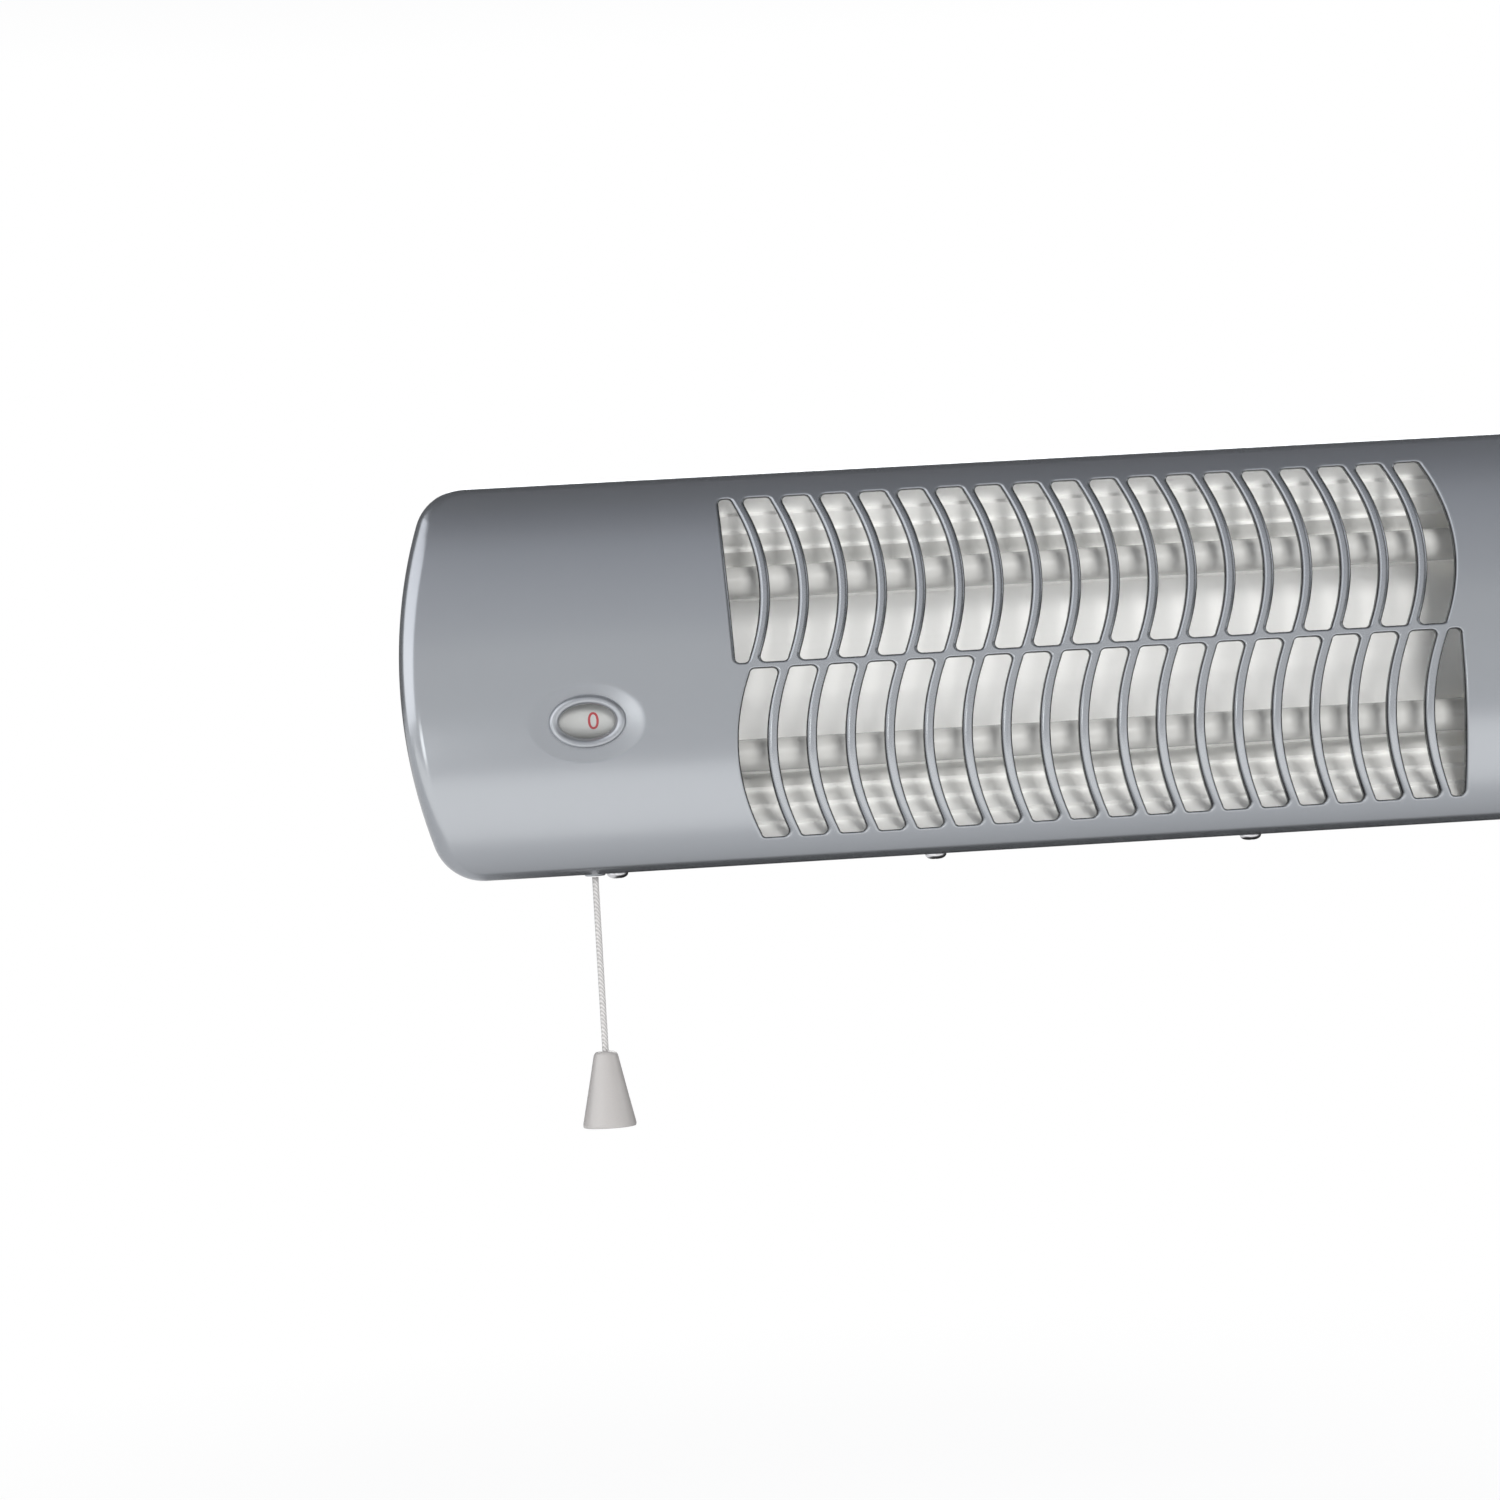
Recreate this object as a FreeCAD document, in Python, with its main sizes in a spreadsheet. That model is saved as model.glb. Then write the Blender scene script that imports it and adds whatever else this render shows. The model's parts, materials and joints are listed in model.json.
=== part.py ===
import FreeCAD, Part
import math
import os
import Sketcher
from FreeCAD import Placement, Rotation, Vector

# Wall-mounted quartz heater: a stamped casing with an S-barred grille, two quartz tubes
# in front of a stepped reflector, and a pull-cord switch with an indicator drum.
# Millimetres. The wall is the plane Y = 0, the heater faces -Y, X runs along its length
# and Z is up. The origin is the middle of the bracket's wall face.

sizes_mm = {
    # casing
    "cover_length": 511.5,
    "cover_height": 145.0,
    "cover_front": 95.0,
    "back_plane": 42.0,
    "arch_radius": 120.0,
    "end_bow_radius": 202.0,
    "outline_corner": 19.0,
    "rolled_edge": 7.0,
    "cover_sheet": 0.8,
    "pan_sheet": 0.8,
    "pan_depth": 14.0,
    "pan_gap": 0.2,
    # grille
    "bar_pitch": 14.3,
    "bar_width": 3.9,
    "bar_bulge": 7.0,
    "bar_lean": 2.0,
    "row_shift": 1.35,
    "mid_rail": 2.4,
    "slot_height": 61.3,
    "slot_corner": 1.6,
    "end_slot_width": 4.4,
    "lip_depth": 2.4,
    "grille_margin": 1.0,
    # indicator in its dished recess
    "indicator_offset": 42.15,
    "indicator_drop": 17.0,
    "dish_depth": 1.8,
    "dish_width": 44.0,
    "bezel_width": 28.0,
    "bezel_height": 19.3,
    "bezel_stand": 2.2,
    "window_width": 20.5,
    "window_height": 12.7,
    "bezel_collar": 1.4,
    "bezel_bevel": 0.9,
    "hole_gap": 0.3,
    # pull switch
    "drum_radius": 12.0,
    "drum_width": 24.5,
    "drum_setback": 4.2,
    "axle_radius": 2.0,
    "running_gap": 0.05,
    "ratchet_radius": 12.0,
    "ratchet_tooth": 2.0,
    "ratchet_width": 4.0,
    "pawl_lash": 0.5,
    "pawl_height": 3.0,
    "slider_sheet": 2.5,
    "slider_gap": 0.5,
    "slider_drop": 20.0,
    "housing_wall": 2.0,
    "housing_room": 1.5,
    "housing_front": 68.0,
    "housing_foot_gap": 6.5,
    "cheek_reach": 5.0,
    "cheek_height": 20.0,
    "spring_radius": 3.2,
    "spring_wire": 0.8,
    # cord and knob
    "cord_radius": 1.2,
    "cord_gap": 0.4,
    "cord_length": 64.8,
    "knob_length": 28.0,
    "knob_top_radius": 4.4,
    "knob_base_radius": 9.9,
    "knob_round": 1.5,
    "bush_radius": 2.8,
    "bush_flange_radius": 3.9,
    "bush_flange": 0.7,
    "bush_depth": 3.0,
    # quartz tubes and their holders
    "tube_radius": 6.0,
    "tube_wall": 1.3,
    "tube_length": 293.0,
    "tube_rise": 32.0,
    "tube_depth": 68.0,
    "coil_radius": 3.2,
    "cap_radius": 7.9,
    "cap_inner": 5.0,
    "cap_outer": 12.0,
    "cap_collar_radius": 9.5,
    "stud_radius": 2.0,
    "stud_reach": 9.0,
    "stud_grip": 8.0,
    "nut_radius": 4.0,
    "nut_height": 3.2,
    "holder_sheet": 1.0,
    "holder_height": 100.0,
    "holder_front": 78.0,
    "holder_foot": 11.0,
    "holder_corner": 7.0,
    "fit_gap": 0.1,
    # reflector
    "reflector_sheet": 0.6,
    "reflector_depth": 52.0,
    "reflector_flat": 26.0,
    "reflector_step": 6.4,
    "reflector_rise": 3.1,
    "reflector_riser": 1.2,
    "reflector_fold": 1.3,
    # wall bracket and pivots
    "bracket_half": 154.0,
    "bracket_sheet": 2.0,
    "bracket_height": 30.0,
    "bracket_reach": 31.0,
    "bracket_bend": 3.0,
    "pivot_depth": 20.0,
    "pivot_radius": 3.0,
    "pivot_head_radius": 5.8,
    "pivot_head": 4.0,
    "lug_sheet": 1.5,
    "lug_gap": 0.3,
    "lug_width": 28.0,
    "lug_height": 24.0,
    "ear_nose": 11.0,
    "wall_screw_spacing": 220.0,
    "wall_screw_radius": 2.6,
    "wing_hub_radius": 5.0,
    "wing_hub": 5.0,
    "wing_span": 22.0,
    "wing_height": 9.0,
    "wing_sheet": 2.0,
    # cover screws
    "screw_spacing": 120.0,
    "screw_radius": 1.7,
    "screw_head_radius": 4.0,
    "screw_head": 2.2,
    "screw_length": 5.5,
    "screw_crown_radius": 2.8,
    "screw_crown": 1.65,
    # supply side
    "gland_offset": 57.0,
    "gland_drop": 30.0,
    "gland_radius": 6.0,
    "gland_nut_radius": 9.0,
    "gland_nut": 10.0,
    "gland_bore": 4.0,
    "gland_mouth_radius": 6.3,
    "gland_flats": 6.0,
    "lock_nut_radius": 8.5,
    "lock_nut": 4.0,
    "block_offset": 57.0,
    "block_rise": 18.0,
    "block_length": 36.0,
    "block_height": 18.0,
    "block_depth": 14.0,
    "block_screw_radius": 1.8,
    "block_screw_head": 1.2,
    "block_screw_pitch": 11.0,
    "block_screw_row": 8.0,
    "cutout_radius": 8.0,
    "cutout_plate": 3.4,
    "cutout_body_radius": 5.6,
    "cutout_body": 6.9,
    "earth_offset": 30.0,
    "earth_drop": 45.0,
}

grille_bars = 19
reflector_steps = 6
ratchet_teeth = 6
screws_per_edge = 4

doc = FreeCAD.newDocument("quartz_heater")
sheet = doc.addObject("Spreadsheet::Sheet", "Sizes")
for row, (word, amount) in enumerate(sizes_mm.items(), start=1):
    sheet.set("A%d" % row, word)
    sheet.set("B%d" % row, str(amount))
    sheet.setAlias("B%d" % row, word)
doc.recompute()


class Size:
    """A length that carries its value and the sheet expression that gives it."""

    def __init__(self, value, text):
        self.value = value
        self.text = text

    def __float__(self):
        return self.value

    def __add__(self, other):
        return Size(self.value + float(other), "(%s + %s)" % (self.text, words(other)))

    def __radd__(self, other):
        return as_size(other) + self

    def __sub__(self, other):
        return Size(self.value - float(other), "(%s - %s)" % (self.text, words(other)))

    def __rsub__(self, other):
        return as_size(other) - self

    def __mul__(self, other):
        return Size(self.value * float(other), "(%s * %s)" % (self.text, words(other)))

    def __rmul__(self, other):
        return as_size(other) * self

    def __truediv__(self, other):
        return Size(self.value / float(other), "(%s / %s)" % (self.text, words(other)))

    def __neg__(self):
        return 0 - self


def words(amount):
    return amount.text if isinstance(amount, Size) else repr(float(amount))


def as_size(amount):
    return amount if isinstance(amount, Size) else Size(float(amount), words(amount))


class Sizes:
    """The sheet's cells by name, as in s.cover_length."""

    def __getattr__(self, word):
        return Size(float(getattr(sheet, word)), "Sizes." + word)


s = Sizes()
nodes = []
near_enough = 0.01
parallel_enough = 0.999


def node(thing, label):
    """Names a finished sub-part; its label is its file's name."""
    thing.Label = label
    nodes.append(thing)
    return thing


def bind(thing, prop, amount):
    thing.setExpression(prop, as_size(amount).text)


def place(thing, point, turn=Rotation()):
    thing.Placement = Placement(Vector(*[float(c) for c in point]), turn)
    for axis, amount in zip("xyz", point):
        bind(thing, "Placement.Base." + axis, amount)
    return thing


def box(name, x, y, z):
    """Box from (low, high) pairs."""
    made = doc.addObject("Part::Box", name)
    for prop, (low, high) in zip(("Length", "Width", "Height"), (x, y, z)):
        bind(made, prop, as_size(high) - low)
    return place(made, (x[0], y[0], z[0]))


def rod(name, radius, start, length, direction):
    made = doc.addObject("Part::Cylinder", name)
    bind(made, "Radius", radius)
    bind(made, "Height", length)
    return place(made, start, Rotation(Vector(0, 0, 1), Vector(*direction)))


def hexagon(name, radius, start, length, direction):
    made = doc.addObject("Part::Prism", name)
    made.Polygon = 6
    bind(made, "Circumradius", radius)
    bind(made, "Height", length)
    return place(made, start, Rotation(Vector(0, 0, 1), Vector(*direction)))


def join(name, *pieces):
    made = doc.addObject("Part::MultiFuse", name)
    made.Shapes = list(pieces)
    made.Refine = True
    return made


def cut(name, base, *tools):
    made = doc.addObject("Part::Cut", name)
    made.Base = base
    made.Tool = tools[0] if len(tools) == 1 else join(name + "_tools", *tools)
    return made


def group(name, pieces):
    """Separate solids that share one node."""
    made = doc.addObject("Part::Compound", name)
    made.Links = list(pieces)
    return made


def solid(name, shape):
    made = doc.addObject("Part::Feature", name)
    made.Shape = shape
    made.Placement = Placement()
    return made


def outline_sketch(body, role, points):
    """Closed outline of straight runs, each corner tied to the sheet."""
    sketch = body.newObject("Sketcher::SketchObject", body.Name + "_outline")
    plane = [item for item in body.Origin.OriginFeatures if item.Role == role][0]
    sketch.AttachmentSupport = (plane, "")
    sketch.MapMode = "FlatFace"
    corners = [Vector(float(x), float(y), 0) for x, y in points]
    count = len(corners)
    for i in range(count):
        sketch.addGeometry(Part.LineSegment(corners[i], corners[(i + 1) % count]))
    for i in range(count):
        sketch.addConstraint(Sketcher.Constraint("Coincident", i, 2, (i + 1) % count, 1))
    for i, point in enumerate(points):
        for kind, amount in zip(("DistanceX", "DistanceY"), point):
            rule = Sketcher.Constraint(kind, -1, 1, i, 1, float(amount))
            bind(sketch, "Constraints[%d]" % sketch.addConstraint(rule), amount)
    return sketch


def turned(name, profile, base, direction):
    """Turned piece: (radius, height) corners spun about the height axis."""
    body = doc.addObject("PartDesign::Body", name)
    spin = body.newObject("PartDesign::Revolution", name + "_turn")
    spin.Profile = outline_sketch(body, "XZ_Plane", profile)
    spin.ReferenceAxis = (spin.Profile[0], ["V_Axis"])
    spin.Angle = 360
    body.Tip = spin
    return place(body, base, Rotation(Vector(0, 0, 1), Vector(*direction)))


def padded(name, role, points, length, base):
    """Sheet profile padded both ways from its plane."""
    body = doc.addObject("PartDesign::Body", name)
    pad = body.newObject("PartDesign::Pad", name + "_pad")
    pad.Profile = outline_sketch(body, role, points)
    pad.Midplane = True
    bind(pad, "Length", length)
    body.Tip = pad
    return place(body, base)


def rounded(body, radius, wanted):
    """Fillet on the edges of the body's tip that the test picks."""
    doc.recompute()
    base = body.Tip
    picked = ["Edge%d" % (i + 1) for i, edge in enumerate(base.Shape.Edges) if wanted(edge)]
    made = body.newObject("PartDesign::Fillet", body.Name + "_round%d" % len(body.Group))
    made.Base = (base, picked)
    bind(made, "Radius", radius)
    body.Tip = made
    return body


def along(edge, axis):
    """Straight edge that runs along an axis."""
    straight = isinstance(edge.Curve, Part.Line)
    return straight and abs(edge.tangentAt(edge.FirstParameter).dot(axis)) > parallel_enough


def at_y(edge, y):
    return abs(edge.CenterOfMass.y - float(y)) < near_enough


# Casing forms shared by the cover and the pan

axis_x, axis_y, axis_z = Vector(1, 0, 0), Vector(0, 1, 0), Vector(0, 0, 1)
arch_y = s.arch_radius - s.cover_front
back_y = -s.back_plane
floor_y = back_y - s.pan_sheet


def line(start, end):
    return Part.LineSegment(start, end).toShape()


def arc(start, middle, end):
    return Part.Arc(start, middle, end).toShape()


def casing_prism(inset, back, front):
    """Casing outline with straight edges, bowed ends and round corners, as a prism."""
    half_length = float(s.cover_length) / 2 - inset
    half_height = float(s.cover_height) / 2 - inset
    bow = float(s.end_bow_radius) - inset
    corner = half_length - bow + math.sqrt(bow ** 2 - half_height ** 2)
    top_left, top_right = Vector(-corner, 0, half_height), Vector(corner, 0, half_height)
    low_left, low_right = Vector(-corner, 0, -half_height), Vector(corner, 0, -half_height)
    outline = Part.Wire([
        line(top_left, top_right),
        arc(top_right, Vector(half_length, 0, 0), low_right),
        line(low_right, low_left),
        arc(low_left, Vector(-half_length, 0, 0), top_left),
    ])
    prism = Part.Face(outline).extrude(axis_y * (front - back))
    prism.translate(axis_y * back)
    corners = [edge for edge in prism.Edges if along(edge, axis_y)]
    return prism.makeFillet(float(s.outline_corner) - inset, corners)


def arch_rod(inset, half_length):
    """Round bar whose front is the casing's arch."""
    start = Vector(-half_length, float(arch_y), 0)
    return Part.makeCylinder(float(s.arch_radius) - inset, 2 * half_length, start, axis_x)


def casing_form(inset, back):
    """Arched casing, solid, with its front edge rolled over."""
    front = -float(s.cover_front) - float(s.rolled_edge)
    form = casing_prism(inset, back, front).common(arch_rod(inset, float(s.cover_length)))
    arched = [face for face in form.Faces if isinstance(face.Surface, Part.Cylinder)
              and abs(face.Surface.Axis.dot(axis_x)) > parallel_enough]
    return form.makeFillet(float(s.rolled_edge) - inset, arched[0].OuterWire.Edges)


# Grille slots


def bar_x(bar):
    """Place of an upper bar at the mid rail; the row sits a little to one side of the middle."""
    return (bar - (grille_bars - 1) / 2) * float(s.bar_pitch) + float(s.row_shift)


def slot_prism(left, right, upper):
    """Slot between two bars, as a prism through the casing's front.

    left and right are each (x at the mid rail, bulge); the lower row is the upper row
    turned half round, so its ends swap over.
    """
    low = float(s.mid_rail) / 2
    high = low + float(s.slot_height)
    middle = (low + high) / 2
    lean = float(s.bar_lean)
    low_left, low_right = Vector(left[0], 0, low), Vector(right[0], 0, low)
    top_left, top_right = Vector(left[0] - lean, 0, high), Vector(right[0] - lean, 0, high)
    edges = [line(low_left, low_right)]
    for start, end, bulge in ((low_right, top_right, right[1]), (top_left, low_left, left[1])):
        if len(edges) == 2:
            edges.append(line(top_right, top_left))
        waist = Vector((start.x + end.x) / 2 + bulge, 0, middle)
        edges.append(arc(start, waist, end) if bulge else line(start, end))
    depth = float(s.arch_radius)
    prism = Part.Face(Part.Wire(edges)).extrude(axis_y * -depth)
    corners = [edge for edge in prism.Edges if along(edge, axis_y)]
    prism = prism.makeChamfer(float(s.slot_corner), corners)
    prism.translate(axis_y * back_y.value)
    if not upper:
        prism.rotate(Vector(), axis_y, 180)
    return prism


def grille_slots():
    """Both rows: the end slot with one straight side, then a slot between each two bars."""
    half_bar = float(s.bar_width) / 2
    bulge = float(s.bar_bulge)
    first_bar = bar_x(0) - half_bar
    row = [((first_bar - float(s.end_slot_width), 0), (first_bar, bulge))]
    for bar in range(grille_bars - 1):
        row.append(((bar_x(bar) + half_bar, bulge), (bar_x(bar + 1) - half_bar, bulge)))
    return [slot_prism(left, right, upper) for upper in (True, False) for left, right in row]


def grille_band():
    """Deep band of the arch behind the slots; with the slots cut, it leaves bars that stand in."""
    deep = float(s.cover_sheet) + float(s.lip_depth)
    half_width = bar_x(grille_bars - 1) + float(s.bar_width / 2 + s.end_slot_width + s.grille_margin)
    half_height = float(s.mid_rail) / 2 + float(s.slot_height) + float(s.grille_margin)
    band = arch_rod(float(s.cover_sheet) / 2, half_width).cut(arch_rod(deep, half_width))
    corner = Vector(-half_width, -float(s.cover_front), -half_height)
    return band.common(Part.makeBox(2 * half_width, float(s.cover_front), 2 * half_height, corner))


# Indicator place on the arch: a point on the front and the way in from it

tube_half = s.tube_length / 2
indicator_x = -tube_half - s.indicator_offset
indicator_turn = math.asin(s.indicator_drop.value / s.arch_radius.value)
inward = Vector(0, math.cos(indicator_turn), math.sin(indicator_turn))
indicator_point = Vector(indicator_x.value, arch_y.value, 0) - inward * s.arch_radius.value
bezel_turn = Rotation(axis_x, math.degrees(indicator_turn))


def into_casing(depth):
    return indicator_point + inward * float(depth)


def dish_ball(grown):
    """Ball whose cap is the dished recess."""
    half_width, depth = float(s.dish_width) / 2, float(s.dish_depth)
    radius = (half_width ** 2 + depth ** 2) / (2 * depth)
    return Part.makeSphere(radius + grown, into_casing(depth - radius))


def oval(name, width, height, length, depth):
    """Oval bar square to the casing at the indicator; depth is where its front lies."""
    ring = doc.addObject("Part::Ellipse", name + "_line")
    bind(ring, "MajorRadius", as_size(width) / 2)
    bind(ring, "MinorRadius", as_size(height) / 2)
    made = doc.addObject("Part::Extrusion", name)
    made.Base = ring
    made.DirMode = "Custom"
    made.Dir = axis_z
    made.Solid = True
    bind(made, "LengthFwd", length)
    made.Placement = Placement(into_casing(depth), Rotation(axis_z, inward))
    return made


# Casing: stamped cover and back pan

bottom_z = -s.cover_height / 2
screw_y = back_y - s.pan_depth / 2
screw_xs = [(i - (screws_per_edge - 1) / 2) * s.screw_spacing for i in range(screws_per_edge)]
hole_radius = s.screw_radius + s.fit_gap
cover_screw_places = [("bottom", x, bottom_z, 1) for x in screw_xs]
cover_screw_places += [("top", x, -bottom_z, -1) for x in (screw_xs[0], screw_xs[-1])]
screw_holes = [rod("%s_screw_hole_%d" % (edge, i), hole_radius, (x, screw_y, z - way * s.screw_head),
                   s.screw_head + s.screw_length, (0, 0, way))
               for i, (edge, x, z, way) in enumerate(cover_screw_places)]

gland_x, earth_x = tube_half + s.gland_offset, tube_half + s.earth_offset
gland_point = (gland_x, back_y, -s.gland_drop)
earth_point = (earth_x, floor_y, -s.earth_drop)
collar_width = s.window_width + 2 * s.bezel_collar
collar_height = s.window_height + 2 * s.bezel_collar

drum_point = into_casing(s.drum_setback + s.drum_radius)
drum_y, drum_z = as_size(drum_point.y), as_size(drum_point.z)
tip_radius = s.ratchet_radius + s.ratchet_tooth
slider_front = drum_y + tip_radius + s.slider_gap
cord_y = slider_front + s.slider_sheet / 2


def front_cover():
    thickness = float(s.cover_sheet)
    outer = casing_form(0, back_y.value).cut(dish_ball(0))
    inner = casing_form(thickness, back_y.value + thickness).cut(dish_ball(thickness))
    stamped = outer.cut(inner).fuse(grille_band()).cut(grille_slots()).removeSplitter()
    window = oval("window_hole", collar_width + 2 * s.hole_gap, collar_height + 2 * s.hole_gap,
                  s.dish_width, 0)
    bush_hole = rod("bush_hole", s.bush_radius + s.fit_gap, (indicator_x, cord_y, bottom_z - s.bush_flange),
                    s.bush_flange + s.bush_depth, (0, 0, 1))
    sheet_form = solid("stamped_sheet", stamped)
    node(cut("front_cover", sheet_form, window, bush_hole, *screw_holes), "front_cover")


def back_pan():
    inset = float(s.cover_sheet + s.pan_gap)
    rim = back_y.value - float(s.pan_depth)
    tray = casing_prism(inset, back_y.value, rim)
    tray = tray.cut(casing_prism(inset + float(s.pan_sheet), floor_y.value, rim - inset))
    through = s.pan_sheet * 3
    holes = [rod("gland_hole", s.gland_radius + s.fit_gap, (gland_x, back_y + s.pan_sheet, -s.gland_drop),
                 through, (0, -1, 0)),
             rod("earth_hole", hole_radius, (earth_x, back_y + s.pan_sheet, -s.earth_drop), through,
                 (0, -1, 0))]
    node(cut("back_pan", solid("pan_tray", tray), *holes, *screw_holes), "back_pan")


def screw(name, base, direction):
    """Domed screw; its head's underside is at the base point."""
    head, length = s.screw_head, s.screw_length
    dome = [(0, -head), (s.screw_crown_radius, -s.screw_crown)]
    rim = [(s.screw_head_radius, 0), (s.screw_radius, 0), (s.screw_radius, length), (0, length)]
    return turned(name, dome + rim, base, direction)


def cover_screws():
    for edge in ("bottom", "top"):
        label = edge + "_cover_screws"
        made = [screw("%s_%d" % (label, i), (x, screw_y, z), (0, 0, way))
                for i, (where, x, z, way) in enumerate(cover_screw_places) if where == edge]
        node(group(label, made), label)


# Wall bracket, lugs and pivots

ear_outer = s.bracket_half - s.bracket_sheet - s.lug_gap
ear_inner = ear_outer - s.lug_sheet
pivot_y = -s.pivot_depth
pivot_hole = s.pivot_radius + s.running_gap


def wall_bracket():
    half, thick, reach = s.bracket_half, s.bracket_sheet, s.bracket_reach
    strip = padded("bracket_strip", "XY_Plane", [
        (-half, -reach), (-half, 0), (half, 0), (half, -reach),
        (half - thick, -reach), (half - thick, -thick), (thick - half, -thick), (thick - half, -reach),
    ], s.bracket_height, (0, 0, 0))

    def bend(edge, x, y):
        at_x = abs(abs(edge.CenterOfMass.x) - float(x)) < near_enough
        return along(edge, axis_z) and at_y(edge, y) and at_x

    rounded(strip, s.bracket_bend + thick, lambda edge: bend(edge, half, 0))
    rounded(strip, s.bracket_bend, lambda edge: bend(edge, half - thick, -thick))
    rounded(strip, s.ear_nose, lambda edge: along(edge, axis_x) and at_y(edge, -reach))
    holes = [rod("bracket_pivot_hole", pivot_hole, (-half - thick, pivot_y, 0), 2 * (half + thick),
                 (1, 0, 0))]
    for way in (-1, 1):
        holes.append(rod("wall_screw_hole_%d" % way, s.wall_screw_radius,
                         (way * s.wall_screw_spacing / 2, thick, 0), 3 * thick, (0, -1, 0)))
    node(cut("wall_bracket", strip, *holes), "wall_bracket")


def hinge_lug(side, way):
    """Angle piece welded to the pan's back; its ear turns on the pivot bolt."""
    tip = pivot_y + s.ear_nose
    angle = padded(side + "_lug_angle", "XY_Plane", [
        (way * ear_outer, back_y), (way * ear_outer, tip), (way * ear_inner, tip),
        (way * ear_inner, back_y + s.lug_sheet), (way * (ear_outer - s.lug_width), back_y + s.lug_sheet),
        (way * (ear_outer - s.lug_width), back_y),
    ], s.lug_height, (0, 0, 0))
    rounded(angle, s.ear_nose, lambda edge: along(edge, axis_x) and at_y(edge, tip))
    hole = rod(side + "_lug_pivot_hole", pivot_hole, (way * s.bracket_half, pivot_y, 0), s.lug_width,
               (-way, 0, 0))
    node(cut(side + "_hinge_lug", angle, hole), side + "_hinge_lug")


def pivots():
    bolts, nuts = [], []
    hub_start = ear_inner - s.lug_gap
    for side, way in (("left", -1), ("right", 1)):
        head = hexagon(side + "_bolt_head", s.pivot_head_radius, (way * s.bracket_half, pivot_y, 0),
                       s.pivot_head, (way, 0, 0))
        shank_length = s.bracket_half - hub_start + s.wing_hub
        shank = rod(side + "_bolt_shank", s.pivot_radius, (way * s.bracket_half, pivot_y, 0),
                    shank_length, (-way, 0, 0))
        bolts.append(join(side + "_pivot_bolt", head, shank))
        hub = rod(side + "_nut_hub", s.wing_hub_radius, (way * hub_start, pivot_y, 0), s.wing_hub,
                  (-way, 0, 0))
        near, far = way * (hub_start - s.wing_hub / 2), way * (hub_start - s.wing_height)
        wing = box(side + "_nut_wing", (near, far) if way < 0 else (far, near),
                   (pivot_y - s.wing_sheet / 2, pivot_y + s.wing_sheet / 2),
                   (-s.wing_span / 2, s.wing_span / 2))
        thread = rod(side + "_nut_thread", pivot_hole, (way * s.bracket_half, pivot_y, 0), s.lug_width,
                     (-way, 0, 0))
        nuts.append(cut(side + "_wing_nut", join(side + "_nut_blank", hub, wing), thread))
    node(group("pivot_bolts", bolts), "pivot_bolts")
    node(group("wing_nuts", nuts), "wing_nuts")


# Quartz tubes, their ends and the reflector

tube_y = -s.tube_depth
holder_x = tube_half + s.cap_inner
coil_half = tube_half - s.cap_inner


def tubes():
    studs, nuts = [], []
    for level, rise in (("upper", s.tube_rise), ("lower", -s.tube_rise)):
        start = (-tube_half, tube_y, rise)
        outer = rod(level + "_tube_outside", s.tube_radius, start, s.tube_length, (1, 0, 0))
        bore = rod(level + "_tube_bore", s.tube_radius - s.tube_wall, start, s.tube_length, (1, 0, 0))
        node(cut(level + "_quartz_tube", outer, bore), level + "_quartz_tube")
        coil_start = (-coil_half, tube_y, rise)
        winding = rod(level + "_winding", s.coil_radius, coil_start, 2 * coil_half, (1, 0, 0))
        core = rod(level + "_coil_core", s.stud_radius + s.fit_gap, coil_start, 2 * coil_half, (1, 0, 0))
        node(cut(level + "_heating_coil", winding, core), level + "_heating_coil")
        for side, way in (("left", -1), ("right", 1)):
            name = "%s_%s" % (level, side)
            ceramic_cap(name + "_end_cap", rise, way)
            stud_start = (way * (coil_half - s.stud_grip), tube_y, rise)
            stud_length = s.stud_grip + s.cap_inner + s.cap_outer + s.stud_reach
            studs.append(rod(name + "_stud", s.stud_radius, stud_start, stud_length, (way, 0, 0)))
            seat = (way * (tube_half + s.cap_outer), tube_y, rise)
            blank = hexagon(name + "_nut_blank", s.nut_radius, seat, s.nut_height, (way, 0, 0))
            thread = rod(name + "_nut_thread", s.stud_radius + s.running_gap, seat, s.nut_height,
                         (way, 0, 0))
            nuts.append(cut(name + "_nut", blank, thread))
    node(group("terminal_studs", studs), "terminal_studs")
    node(group("terminal_nuts", nuts), "terminal_nuts")


def ceramic_cap(name, rise, way):
    """Stepped ceramic end: a cup for the tube, a shoulder at the holder, a hole for the stud."""
    cup, bore = s.tube_radius + s.fit_gap, s.stud_radius + s.fit_gap
    profile = [(cup, -s.cap_inner), (s.cap_collar_radius, -s.cap_inner), (s.cap_collar_radius, s.cap_inner),
               (s.cap_radius, s.cap_inner), (s.cap_radius, s.cap_outer), (bore, s.cap_outer),
               (bore, 0), (cup, 0)]
    node(turned(name, profile, (way * tube_half, tube_y, rise), (way, 0, 0)), name)


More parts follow.
